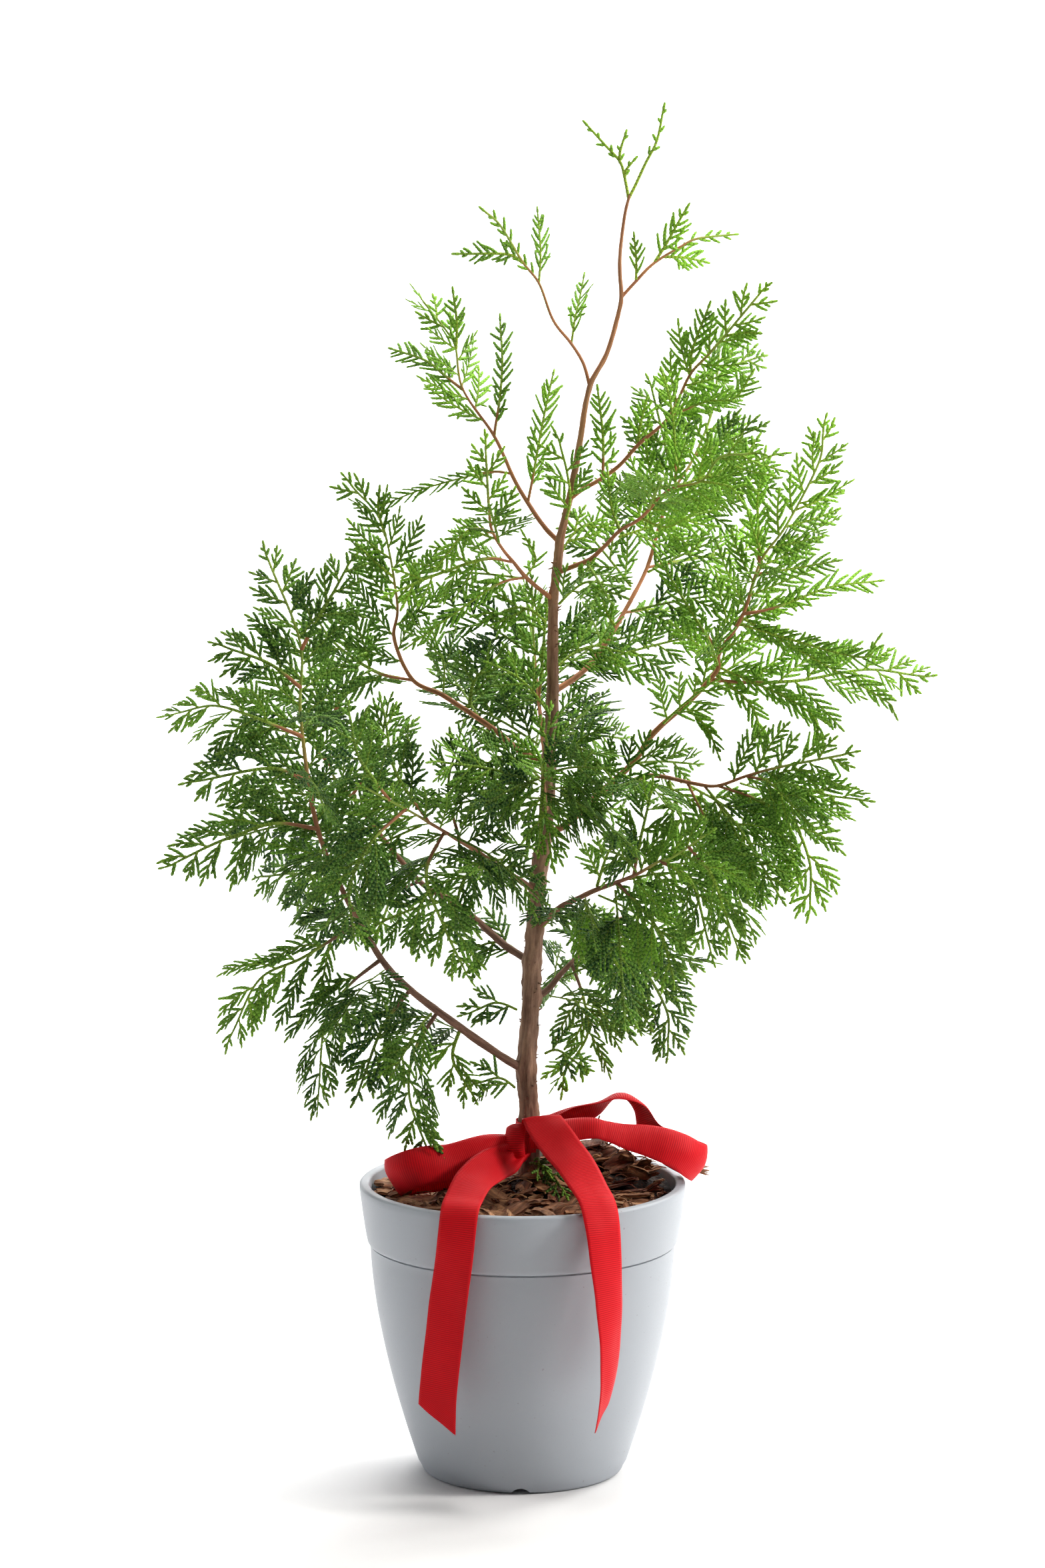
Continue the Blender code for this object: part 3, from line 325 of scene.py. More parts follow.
class Collector:
    """Gathers closed tubes of four-cornered section into one mesh, with a value at each point."""

    def __init__(self):
        self.points, self.values, self.quads, self.tris, self.total = [], [], [], [], 0

    def add(self, points, values, quads, tris):
        self.points.append(points)
        self.values.append(values)
        self.quads.append(quads + self.total)
        self.tris.append(tris + self.total)
        self.total += len(points)

    def tubes(self, centres, ways, normals, halves, thicks, values):
        """n closed tubes with k stations each: centres, ways and normals are (n, k, 3), halves (half
        the width) and thicks (half the thickness) are (n, k), and values are (n, k, 3)."""
        many, long = centres.shape[:2]
        sides = unit(np.cross(normals, ways))
        ups = np.cross(ways, sides)
        ring = np.stack([centres + sides * halves[..., None], centres + ups * thicks[..., None],
                         centres - sides * halves[..., None], centres - ups * thicks[..., None]],
                        axis=2)
        apex = centres[:, -1] + ways[:, -1] * halves[:, -1:] * 0.9
        base = centres[:, 0] - ways[:, 0] * halves[:, :1] * 0.4
        points = np.concatenate([ring.reshape(many, long * 4, 3), apex[:, None], base[:, None]], 1)
        facing = np.array([0.3, 0.0, 0.3, 1.0])
        corner = np.concatenate([np.repeat(values[:, :, None], 4, axis=2),
                                 np.broadcast_to(facing[None, None, :, None], (many, long, 4, 1))],
                                axis=3).reshape(many, long * 4, 4)
        corner = np.concatenate([corner, corner[:, -4:-3], corner[:, :1]], 1)
        each = long * 4 + 2
        step = np.arange(long - 1)[:, None] * 4
        around = np.arange(4)[None]
        after = (around + 1) % 4
        quads = np.stack([step + around, step + 4 + around, step + 4 + after, step + after],
                         axis=2).reshape(-1, 4)
        last = (long - 1) * 4
        tris = np.array([[last + i, each - 2, last + (i + 1) % 4] for i in range(4)]
                        + [[(i + 1) % 4, each - 1, i] for i in range(4)])
        offset = (np.arange(many) * each)[:, None, None]
        self.add(points.reshape(-1, 3), corner.reshape(-1, 4),
                 (quads[None] + offset).reshape(-1, 4), (tris[None] + offset).reshape(-1, 3))

    def mesh(self, name):
        return fill_mesh(name, np.concatenate(self.points), np.concatenate(self.quads),
                         np.concatenate(self.tris), growth=np.concatenate(self.values))


def fill_mesh(name, points, quads, tris, **colors):
    """A mesh from arrays, with one colour attribute for each named array of four values a point."""
    mesh = bpy.data.meshes.new(name)
    quads = np.asarray(quads, np.int32).reshape(-1, 4)
    tris = np.asarray(tris, np.int32).reshape(-1, 3)
    mesh.vertices.add(len(points))
    mesh.vertices.foreach_set("co", np.asarray(points, np.float32).ravel())
    loops = np.concatenate([quads.ravel(), tris.ravel()])
    mesh.loops.add(len(loops))
    mesh.loops.foreach_set("vertex_index", loops)
    mesh.polygons.add(len(quads) + len(tris))
    mesh.polygons.foreach_set("loop_start", np.concatenate(
        [np.arange(len(quads)) * 4, len(quads) * 4 + np.arange(len(tris)) * 3]).astype(np.int32))
    for key, values in colors.items():
        layer = mesh.attributes.new(key, "FLOAT_COLOR", "POINT")
        layer.data.foreach_set("color", np.asarray(values, np.float32).ravel())
    mesh.update(calc_edges=True)
    mesh.shade_smooth()
    return mesh


def place(mesh, body, material, slot, *nodes):
    """A piece on a body, with its finish, standing for the CAD nodes named."""
    piece = bpy.data.objects.new(mesh.name, mesh)
    bpy.context.scene.collection.objects.link(piece)
    mesh.materials.clear()
    mesh.materials.append(material)
    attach(piece, body)
    if nodes:
        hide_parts(*nodes)
    return piece


# ---------------------------------------------------------------- shader tools

class Shader:
    """A material's node tree with short calls to add and link nodes."""

    def __init__(self, tree):
        self.tree = tree

    def node(self, kind, links=None, **settings):
        """A new node, with a value or a link for each input named or numbered."""
        made = self.tree.nodes.new(kind)
        for key, value in settings.items():
            setattr(made, key, value)
        for socket, value in (links or {}).items():
            self.put(made.inputs[socket], value)
        return made

    def put(self, socket, value):
        """Links an output, or a node's first output, to a socket, or gives it a plain value."""
        if isinstance(value, bpy.types.NodeSocket):
            self.tree.links.new(value, socket)
        elif isinstance(value, bpy.types.Node):
            self.tree.links.new(value.outputs[0], socket)
        else:
            socket.default_value = value

    def math(self, operation, a, b=0.0):
        return self.node("ShaderNodeMath", {0: a, 1: b}, operation=operation).outputs[0]

    def mix(self, factor, a, b):
        """A colour between a and b."""
        made = self.node("ShaderNodeMix", data_type="RGBA")
        for socket, value in zip((made.inputs[0], made.inputs[6], made.inputs[7]), (factor, a, b)):
            self.put(socket, (*value, 1.0) if isinstance(value, tuple) and len(value) == 3 else value)
        return made.outputs[2]

    def ramp(self, factor, low, high, to_low=0.0, to_high=1.0):
        """A value carried from one range to another, and held at the ends."""
        made = self.node("ShaderNodeMapRange", {"Value": factor, "From Min": low, "From Max": high,
                                                "To Min": to_low, "To Max": to_high})
        return made.outputs[0]

    def noise(self, vector, scale, detail=3.0, rough=0.5):
        return self.node("ShaderNodeTexNoise", {"Vector": vector, "Scale": scale, "Detail": detail,
                                                "Roughness": rough}).outputs["Fac"]

    def places(self):
        """Places on the piece itself, in metres."""
        return self.node("ShaderNodeTexCoord").outputs["Object"]

    def values(self, name):
        """The outputs of one of the mesh's colour attributes."""
        return self.node("ShaderNodeAttribute", attribute_name=name).outputs


def shaded(name, roughness=0.5, **sockets):
    """A new material and its Principled shader, with the values that are the same all over."""
    made = bpy.data.materials.new(name)
    made.use_nodes = True
    principled = made.node_tree.nodes["Principled BSDF"]
    principled.inputs["Roughness"].default_value = roughness
    for key, value in sockets.items():
        principled.inputs[key.replace("_", " ")].default_value = value
    return made, Shader(made.node_tree), principled


def effect(name, inputs, outputs):
    """A new shader node group with float, colour and vector sockets, or the one made before."""
    found = bpy.data.node_groups.get(name)
    if found:
        return found, None, None, None
    tree = bpy.data.node_groups.new(name, "ShaderNodeTree")
    for key, (kind, value) in inputs.items():
        socket = tree.interface.new_socket(key, in_out="INPUT", socket_type=kind)
        if value is not None:
            socket.default_value = value
    for key, kind in outputs.items():
        tree.interface.new_socket(key, in_out="OUTPUT", socket_type=kind)
    entry, leave = tree.nodes.new("NodeGroupInput"), tree.nodes.new("NodeGroupOutput")
    return tree, Shader(tree), entry.outputs, leave.inputs


def mottle_group():
    """Uneven tone: broad clouds and fine specks around one, to multiply a colour by."""
    tree, made, given, out = effect(
        "Mottle", {"Vector": ("NodeSocketVector", None), "Cloud Scale": ("NodeSocketFloat", 20.0),
                   "Speck Scale": ("NodeSocketFloat", 400.0), "Depth": ("NodeSocketFloat", 0.2)},
        {"Tone": "NodeSocketFloat", "Specks": "NodeSocketFloat"})
    if made:
        clouds = made.noise(given["Vector"], given["Cloud Scale"], 4.0)
        specks = made.noise(given["Vector"], given["Speck Scale"], 2.0)
        both = made.math("ADD", made.math("MULTIPLY", clouds, 1.4), made.math("MULTIPLY", specks, 0.6))
        around = made.math("SUBTRACT", both, 1.0)
        made.put(out["Tone"], made.math("ADD", made.math("MULTIPLY", around, given["Depth"]), 1.0))
        made.put(out["Specks"], specks)
    return tree


def streaks_group():
    """Fibres drawn out along one axis: a mask of ridges and a height for bump."""
    tree, made, given, out = effect(
        "Streaks", {"Vector": ("NodeSocketVector", None), "Across Scale": ("NodeSocketFloat", 900.0),
                    "Along Scale": ("NodeSocketFloat", 60.0)},
        {"Ridges": "NodeSocketFloat", "Height": "NodeSocketFloat"})
    if made:
        stretch = made.node("ShaderNodeCombineXYZ", {"X": given["Across Scale"],
                                                     "Y": given["Across Scale"],
                                                     "Z": given["Along Scale"]})
        drawn = made.node("ShaderNodeVectorMath", {0: given["Vector"], 1: stretch},
                          operation="MULTIPLY")
        coarse = made.noise(drawn, 0.35, 4.0, 0.6)
        fine = made.noise(drawn, 1.0, 3.0, 0.7)
        both = made.math("ADD", made.math("MULTIPLY", coarse, 0.65), made.math("MULTIPLY", fine, 0.35))
        made.put(out["Ridges"], made.ramp(both, 0.35, 0.65))
        made.put(out["Height"], both)
    return tree


def use(made, tree, **sockets):
    """Places a node group in a material with its own values."""
    group = made.node("ShaderNodeGroup", node_tree=tree)
    for key, value in sockets.items():
        made.put(group.inputs[key.replace("_", " ")], value)
    return group.outputs


def multiply(made, color, tone):
    """A colour times a tone near one."""
    return made.node("ShaderNodeVectorMath", {0: color, 3: tone}, operation="SCALE").outputs[0]


def bump(made, height, strength, distance):
    """A normal raised by a height; distance is in metres."""
    return made.node("ShaderNodeBump", {"Height": height, "Strength": strength,
                                        "Distance": distance}).outputs["Normal"]


def foliage_material():
    """Scale leaves: a pale boss and a dark joint to each pair, yellower stalks, paler undersides."""
    found = bpy.data.materials.get("scale_leaves")
    if found:
        return found
    settings = bpy.context.scene.tree_foliage
    made, net, shader = shaded("scale_leaves", 0.55, Specular_IOR_Level=0.15)
    growth = net.values("growth")
    phase, kind, tone = net.node("ShaderNodeSeparateColor", {0: growth["Color"]}).outputs
    under = growth["Alpha"]
    # Painted light and shade, with the growth's own colour: tone runs from the shaded green of low, inner
    # foliage to the light green of the top
    leaf = net.mix(tone, tuple(settings.shade), tuple(settings.light))
    leaf = net.mix(kind, leaf, tuple(settings.rachis))
    pale = net.mix(0.45, leaf, (0.32, 0.46, 0.24))
    leaf = net.mix(net.math("MULTIPLY", net.math("POWER", under, 2.0), 0.40), leaf, pale)
    turn = net.math("FRACT", phase)
    joint = net.math("ADD", net.ramp(turn, 0.0, 0.16, 1.0, 0.0), net.ramp(turn, 0.90, 1.0, 0.0, 1.0))
    leaf = net.mix(net.math("MULTIPLY", joint, 0.50), leaf, tuple(0.35 * c for c in settings.shade))
    boss = net.math("MULTIPLY", net.ramp(turn, 0.35, 0.75), net.ramp(turn, 0.75, 0.95, 1.0, 0.0))
    leaf = net.mix(net.math("MULTIPLY", boss, 0.22), leaf, (0.42, 0.62, 0.16))
    mottle = use(net, mottle_group(), Vector=net.places(), Cloud_Scale=60.0, Speck_Scale=900.0,
                 Depth=0.75)
    net.put(shader.inputs["Base Color"], multiply(net, leaf, mottle["Tone"]))
    net.put(shader.inputs["Roughness"], net.ramp(mottle["Specks"], 0.3, 0.7, 0.48, 0.68))
    height = net.math("SUBTRACT", boss, joint)
    net.put(shader.inputs["Normal"], bump(net, height, 0.7, 0.0004))
    return made


def wood_material(name, ridge, groove, across, along, depth=0.0006, green=None, top=None,
                  top_span=(0.48, 0.74)):
    """Fibrous bark: pale ridges over dark grooves, drawn out along the stem. green tints it where
    the grain says so, and top where it is high on the tree."""
    found = bpy.data.materials.get(name)
    if found:
        return found
    made, net, shader = shaded(name, 0.8)
    grain, place_ = net.values("grain"), net.places()
    streaks = use(net, streaks_group(), Vector=grain["Vector"], Across_Scale=across, Along_Scale=along)
    mottle = use(net, mottle_group(), Vector=place_, Cloud_Scale=45.0, Speck_Scale=1400.0, Depth=0.7)
    color = net.mix(streaks["Ridges"], groove, ridge)
    if top:
        high = net.node("ShaderNodeSeparateXYZ", {0: place_}).outputs[2]
        color = net.mix(net.ramp(high, *top_span, 0.0, 0.85), color, top)
    if green:
        color = net.mix(grain["Alpha"], color, green)
    net.put(shader.inputs["Base Color"], multiply(net, color, mottle["Tone"]))
    net.put(shader.inputs["Roughness"], net.ramp(streaks["Ridges"], 0.0, 1.0, 0.92, 0.66))
    net.put(shader.inputs["Normal"], bump(net, streaks["Height"], 0.9, depth))
    return made


# ---------------------------------------------------------------- wood

GREEN_SPAN = 0.18         # share of a stem over which its bark turns green
KNOT_HALF_HEIGHT = 0.0055
KNOT_HALF_ANGLE = 0.8
PATH_STEP = 0.0024
TWIG_STEP = 0.002


def wood_tube(path, radii, sides, seed, roughness, green_from=None, knots=()):
    """Points, grain and faces of a closed woody tube, ridged along its length. It turns green from
    the share of its length green_from, and swells at each knot (height, angle, size)."""
    ways = ways_of(path)
    run = np.concatenate([[0], np.cumsum(np.linalg.norm(np.diff(path, axis=0), axis=1))])
    lean = np.array([0.0, 1.0, 0.0]) if abs(ways[0][1]) < 0.8 else np.array([1.0, 0.0, 0.0])
    green = np.zeros(len(path))
    if green_from is not None:
        green = np.clip((np.arange(len(path)) / (len(path) - 1) - green_from) / GREEN_SPAN, 0, 1)
    points, grain = [], []
    for i, (centre, way, radius) in enumerate(zip(path, ways, radii)):
        lean = unit(lean - way * (lean @ way))
        other = np.cross(way, lean)
        for j in range(sides):
            turn = 2 * math.pi * j / sides
            direction = math.cos(turn) * lean + math.sin(turn) * other
            around = Vector((math.cos(turn) * 2.2, math.sin(turn) * 2.2, run[i] * 45 + seed * 7.3))
            ridge = noise.fractal(around, 0.7, 2.2, 4)
            fine = noise.noise(Vector((math.cos(turn) * 5, math.sin(turn) * 5, run[i] * 160 + seed)))
            bulge = 0.0
            for height, angle, size in knots:
                off = abs(((turn - angle + math.pi) % (2 * math.pi)) - math.pi)
                bulge += size * math.exp(-((centre[2] - height) / KNOT_HALF_HEIGHT) ** 2
                                         - (off / KNOT_HALF_ANGLE) ** 2)
            swell = 1 + roughness * (ridge * 0.9 + fine * 0.45) + bulge
            points.append(centre + direction * radius * swell)
            grain.append((math.cos(turn) * radius, math.sin(turn) * radius, run[i], green[i]))
    count = len(path)
    points += [path[0] - ways[0] * radii[0] * 0.4, path[-1] + ways[-1] * radii[-1] * 0.8]
    grain += [grain[0], grain[-1]]
    quads = [(i * sides + j, i * sides + (j + 1) % sides, (i + 1) * sides + (j + 1) % sides,
              (i + 1) * sides + j) for i in range(count - 1) for j in range(sides)]
    low, high = count * sides, count * sides + 1
    last = (count - 1) * sides
    tris = [(low, (j + 1) % sides, j) for j in range(sides)]
    tris += [(high, last + j, last + (j + 1) % sides) for j in range(sides)]
    return np.array(points), np.array(grain), np.array(quads), np.array(tris)


def join_parts(name, parts):
    """One mesh of several point, grain and face sets."""
    total, quads, tris = 0, [], []
    for points, _, fours, threes in parts:
        quads.append(np.asarray(fours).reshape(-1, 4) + total)
        tris.append(np.asarray(threes).reshape(-1, 3) + total)
        total += len(points)
    return fill_mesh(name, np.concatenate([p[0] for p in parts]), np.concatenate(quads),
                     np.concatenate(tris), grain=np.concatenate([p[1] for p in parts]))


def trunk_radius_at(height):
    """The trunk's radius at a height, both in metres."""
    return np.interp(height, [z * MM for _, z, _ in TRUNK_ROUTE], [r * MM for *_, r in TRUNK_ROUTE])


def trunk_middle(height):
    """The x of the trunk's middle line at a height, both in metres."""
    return np.interp(height, [z * MM for _, z, _ in TRUNK_ROUTE], [x * MM for x, *_ in TRUNK_ROUTE])


def branch_frame(name):
    """Root, outward and across directions of a branch, from its joint."""
    joint = JOINTS[name]
    across = np.array(joint["axis"], float)
    return np.array(joint["pos_m"], float), np.array([across[1], -across[0], 0.0]), across


def branch_place(name, reach, height):
    """The place at a distance out from a branch's root and a height, both in mm."""
    root, outwards, _ = branch_frame(name)
    return np.array([root[0], root[1], 0]) + outwards * reach * MM + np.array([0, 0, height * MM])


def branch_path(name, points, begin, aside=0.0):
    """A curve in a branch's plane, bent out of it by aside at its end."""
    across = branch_frame(name)[2]
    path, run = smooth_path([begin, *(branch_place(name, r, z) for r, z in points)], PATH_STEP)
    return path + across * (aside * (run / run[-1]) ** 1.6)[:, None], run


# ---------------------------------------------------------------- foliage

YOUNG_TONE = 0.58         # branches lighter than this have young, short foliage
WOODY_LENGTH = 0.05       # a longer limb has bark near its root, metres
THINNEST_STEM = 0.0007
STALK_HALF = 0.0011       # half width of a sprig's stalk at its base, metres
STALK_TIP = 0.0008
THIN_STALK = 0.0009
STALK_FLATNESS = 0.62     # thickness over width
LEAFLET_FLATNESS = 0.5


class Foliage:
    """Grows fronds of flat scale-leaf twigs: stalks are laid at once, leaflets in batches."""

    def __init__(self, seed):
        self.draw = random.Random(seed)
        self.collector = Collector()
        self.waiting = []
        settings = bpy.context.scene.tree_foliage
        self.pitch = settings.scale_pitch
        self.half = settings.leaflet_width / 2
        self.leaflet = settings.leaflet_length
        self.frond = settings.frond_length
        self.gap = settings.frond_gap

    def stalk(self, path, run, normals, start, end, tone, kind=1.0):
        """A scale-covered green stalk along a path."""
        periods = max(1, int(round(run[-1] / self.pitch)))
        stops = np.concatenate([[0], (np.arange(periods)[:, None] + np.array([0.72, 1.0])).ravel()])
        share = stops / periods
        where = share * run[-1]
        centres = np.stack([np.interp(where, run, path[:, i]) for i in range(3)], 1)
        flat = unit(np.stack([np.interp(where, run, normals[:, i]) for i in range(3)], 1))
        width = start + (end - start) * share
        swell = np.where(np.arange(len(stops)) % 2 == 1, 1.10, 0.88)
        swell[-1] = 0.6
        values = np.stack([stops, kind * (1 - 0.5 * share), np.full(len(stops), tone)], 1)
        self.collector.tubes(centres[None], ways_of(centres)[None], flat[None], (width * swell)[None],
                             (width * swell * STALK_FLATNESS)[None], values[None])

    def leaf(self, start, heading, normal, length, sweep, droop, tone, width=1.0, kind=0.0):
        """One leaflet, laid later by flush. sweep is the turn over its length, in radians."""
        self.waiting.append((start, heading, normal, length, sweep, droop, tone, width, kind))

    def flush(self):
        """Lays every waiting leaflet, those with the same number of scale pairs together."""
        groups = {}
        for item in self.waiting:
            groups.setdefault(max(1, int(round(item[3] / self.pitch))), []).append(item)
        for periods, items in sorted(groups.items()):
            start, heading, normal = (np.array([i[k] for i in items]) for k in range(3))
            length, sweep, droop, tone, width, kind = (np.array([i[k] for i in items])
                                                       for k in range(3, 9))
            stops = np.concatenate([[0], (np.arange(periods)[:, None]
                                          + np.array([0.70, 1.0])).ravel()])
            share = stops / periods
            side = np.cross(normal, heading)
            angle = sweep[:, None] * share
            ways = (np.cos(angle)[..., None] * heading[:, None]
                    + np.sin(angle)[..., None] * side[:, None])
            ways[..., 2] -= droop[:, None] * share
            ways = unit(ways)
            steps = np.diff(share)[None] * length[:, None]
            moves = unit(ways[:, 1:] + ways[:, :-1]) * steps[..., None]
            centres = start[:, None] + np.concatenate(
                [np.zeros((len(items), 1, 3)), np.cumsum(moves, axis=1)], axis=1)
            swell = np.where(np.arange(len(stops)) % 2 == 1, 1.14, 0.84)
            swell[0], swell[-1] = 0.72, 0.55
            body = np.sin(np.clip(share * 0.8 + 0.25, 0, 1) * math.pi) ** 0.3
            halves = self.half * width[:, None] * (swell * np.clip(body, 0.75, 1))[None]
            values = np.stack([np.broadcast_to(stops, halves.shape),
                               np.repeat(kind[:, None], len(stops), 1),
                               tone[:, None] + 0.10 * share[None]], axis=2)
            flat = np.repeat(normal[:, None], len(stops), 1)
            self.collector.tubes(centres, ways, flat, halves, halves * LEAFLET_FLATNESS, values)
        self.waiting = []

    def side_frond(self, start, way, normal, side, length, droop, tone, angle):
        """A stalk with leaflets on both sides, leaving its parent on one side."""
        draw = self.draw
        beside = np.cross(normal, way) * side
        heading = unit(math.cos(angle) * way + math.sin(angle) * beside)
        roll = draw.gauss(0, 0.38)
        turned = unit(normal + np.cross(heading, normal) * roll)
        periods = max(2, int(round(length / self.pitch)))
        share = np.linspace(0, 1, periods * 2 + 1)
        curl = -side * draw.uniform(0.10, 0.38)
        bend = curl * share
        out = np.cross(turned, heading)
        ways = np.cos(bend)[:, None] * heading + np.sin(bend)[:, None] * out
        ways[:, 2] -= 1.35 * droop * share * min(1.0, length / 0.035)
        ways = unit(ways)
        steps = unit(ways[1:] + ways[:-1]) * (length / (len(share) - 1))
        path = start + np.vstack([np.zeros(3), np.cumsum(steps, axis=0)])
        run = share * length
        flat = unit(turned - ways * (ways @ turned)[:, None])
        self.stalk(path, run, flat, 0.00085, 0.0007, tone, kind=min(0.3 + 0.7 * max(tone, 0), 0.9))
        self.leaflets(path, ways, flat, length, droop, tone, side)

    def leaflets(self, path, ways, flat, length, droop, tone, side, first=0.0, size=1.0, spread=1.0):
        """Leaflets on alternate sides of a stalk, shorter near both ends."""
        draw = self.draw
        where = first + self.pitch * draw.uniform(0.9, 1.5)
        hand = side
        while where < length * 0.97:
            share = where / length
            i = min(int(share * (len(path) - 1)), len(path) - 1)
            rise = min(1.0, 0.62 + share * 2.2)
            fall = min(1.0, (length - where) / 0.017 + 0.22)
            reach = self.leaflet * size * rise * fall * draw.uniform(0.82, 1.08)
            reach *= 1.0 if hand == side else 0.9
            reach = max(reach, self.pitch * 1.3)
            lean = math.radians(draw.uniform(34, 50) - 16 * droop)
            out = np.cross(flat[i], ways[i]) * hand
            heading = unit(math.cos(lean) * ways[i] + math.sin(lean) * out)
            normal = unit(flat[i] + np.cross(heading, flat[i]) * draw.gauss(0, 0.12))
            shade = tone + draw.gauss(0, 0.05)
            self.leaf(path[i], heading, normal, reach, -hand * draw.uniform(0.0, 0.5),
                      droop * 0.15, shade, draw.uniform(0.9, 1.08))
            if reach > 0.010 and length > 0.028 and share < 0.5 and draw.random() < 0.55:
                for k in range(draw.choice((1, 2))):
                    at = (0.30 + 0.26 * k) * reach
                    turn = math.radians(40)
                    aside = np.cross(normal, heading) * (hand if k == 0 else -hand)
                    self.leaf(path[i] + heading * at, unit(math.cos(turn) * heading
                                                           + math.sin(turn) * aside),
                              normal, reach * draw.uniform(0.36, 0.48), 0.0, 0.0, shade, 0.92)
            hand = -hand
            where += self.pitch * spread * draw.uniform(0.95, 1.25)
        self.leaf(path[-1], ways[-1], flat[-1], self.pitch * draw.uniform(1.4, 2.4), 0.0, 0.0,
                  tone + 0.1, 0.9, 0.25)

    def sprig(self, path, run, normal, droop, tone, first=0.0, size=1.0, spread=1.0):
        """A simple frond along a path: a stalk that carries its leaflets itself."""
        ways = ways_of(path)
        flat = unit(normal - ways * (ways @ normal)[:, None])
        self.stalk(path, run, flat, STALK_HALF, STALK_TIP, tone)
        self.leaflets(path, ways, flat, run[-1], droop, tone, self.draw.choice((-1, 1)), first, size,
                      spread)

    def limb(self, path, run, normal, droop, tone, bare=0.10, width=0.0013, reach=0.5, first=None):
        """A stalk with side fronds on alternate sides, shorter towards its tip. Its fronds begin at
        first, or else after the bare share of its length."""
        draw = self.draw
        ways = ways_of(path)
        flat = unit(normal - ways * (ways @ normal)[:, None])
        long = run[-1]
        begin = bare * long if first is None else first
        keep = run >= begin * 0.6
        self.stalk(path[keep], run[keep] - run[keep][0], flat[keep], width, STALK_TIP, tone,
                   kind=min(0.45 + 0.7 * max(tone, 0), 1.0))
        where = begin + self.gap * draw.uniform(0.3, 0.9)
        hand = draw.choice((-1, 1))
        while where < long - 0.004:
            i = min(int(np.searchsorted(run, where)), len(path) - 1)
            left = long - where
            size = min(self.frond, reach * left + 0.011) * draw.uniform(0.78, 1.08)
            angle = math.radians(draw.uniform(40, 54) - 8 * (1 - min(1.0, left / 0.05)))
            self.side_frond(path[i], ways[i], flat[i], hand, size, droop, tone
                            + draw.gauss(0, 0.09) + 0.14 * (where / long), angle)
            hand = -hand
            where += self.gap * draw.uniform(0.8, 1.15) * (0.72 + 0.28 * min(1.0, left / 0.05))
        self.side_frond(path[-1], ways[-1], flat[-1], hand, 0.009, 0.0, tone + 0.15, 0.1)


def facing(way, draw, spread):
    """A frond's flat side: mostly towards the front, rolled about the frond's own way."""
    front = np.array([0.0, -1.0, 0.0])
    if abs(way[1]) > 0.85:
        front = np.array([0.0, -0.3, 1.0])
    normal = unit(front - way * (front @ way))
    roll = draw.gauss(0, spread)
    return unit(normal * math.cos(roll) + np.cross(way, normal) * math.sin(roll))


def grow_stem(name, foliage, path, run):
    """The branch's own tip foliage."""
    _, tone, droop, *_ = BRANCHES[name]
    long = run[-1]
    normal = facing(unit(path[-1] - path[len(path) // 2]), foliage.draw, 0.3)
    if name in ("top_left", "top_right"):
        foliage.sprig(path, run, normal, 0.0, tone, first=long * 0.60, size=0.62, spread=1.5)
    else:
        foliage.limb(path, run, normal, droop * 0.6, tone, first=long * 0.46, width=STALK_HALF,
                     reach=0.30 if tone > YOUNG_TONE else 0.42)


def grow_limb(name, foliage, stem_path, limb):
    """One of the branch's limbs: its foliage, and its woody part where it is long enough."""
    width, tone, droop, *_ = BRANCHES[name]
    draw, young, parts = foliage.draw, tone > YOUNG_TONE, []
    across = branch_frame(name)[2]
    length = sum(math.dist(a, b) for a, b in zip(limb, limb[1:])) * MM
    start = stem_path[np.argmin(np.linalg.norm(stem_path - branch_place(name, *limb[0]), axis=1))]
    spread = 0.352 if abs(across[1]) > 0.7 else 0.16
    path, run = branch_path(name, limb[1:], start, draw.uniform(-1, 1) * spread * length)
    normal = facing(unit(path[-1] - path[0]), draw, 0.42)
    woody = length > WOODY_LENGTH
    if woody:
        cut = max(4, int(len(path) * 0.34))
        radii = np.linspace(min(width * 0.5, 1.5) * MM, 0.00085, cut)
        parts.append(wood_tube(path[:cut], radii, 8, draw.random() * 50, 0.14, green_from=0.7))
    shade = tone + draw.gauss(0, 0.11)
    if length < (0.085 if young else 0.040):
        foliage.sprig(path, run, normal, droop, shade, first=length * 0.12,
                      size=draw.uniform(0.85, 1.1))
    else:
        foliage.limb(path, run, normal, droop, shade, bare=0.14 if woody else 0.05,
                     reach=0.36 if young else 0.5)
    return parts


def grow_filler(name, foliage, path, k):
    """A short limb, darker as painted shade on the inner foliage, that leaves the branch's stem to the
    front or the back.
    """
    _, tone, droop, *_ = BRANCHES[name]
    draw, across = foliage.draw, branch_frame(name)[2]
    i = int((0.12 + 0.66 * (k + draw.uniform(0, 0.7)) / FILL[name]) * (len(path) - 2))
    side = 1 if k % 2 else -1
    length = draw.uniform(0.050, 0.088) * (0.8 if tone > YOUNG_TONE else 1)
    heading = unit(unit(path[i + 1] - path[i]) * 0.75 + across * side * draw.uniform(0.3, 0.9)
                   + np.array([0, 0, draw.uniform(-0.5, 0.25) - droop * 0.4]))
    if abs(path[i][1] + heading[1] * length) > REACH:
        heading = unit(heading * np.array([1, 0.25, 1]))
    fall = np.array([0, 0, -0.5 * droop * length])
    route = [path[i], path[i] + heading * length * 0.5 + fall * 0.25, path[i] + heading * length + fall]
    limb_path, run = smooth_path(route, PATH_STEP)
    normal = facing(unit(limb_path[-1] - limb_path[0]), draw, 0.5)
    # Painted shade: inner filler limbs take half the branch's tone and a little less
    foliage.limb(limb_path, run, normal, droop, tone * 0.50 + draw.gauss(-0.06, 0.09), bare=0.08,
                 width=THIN_STALK)


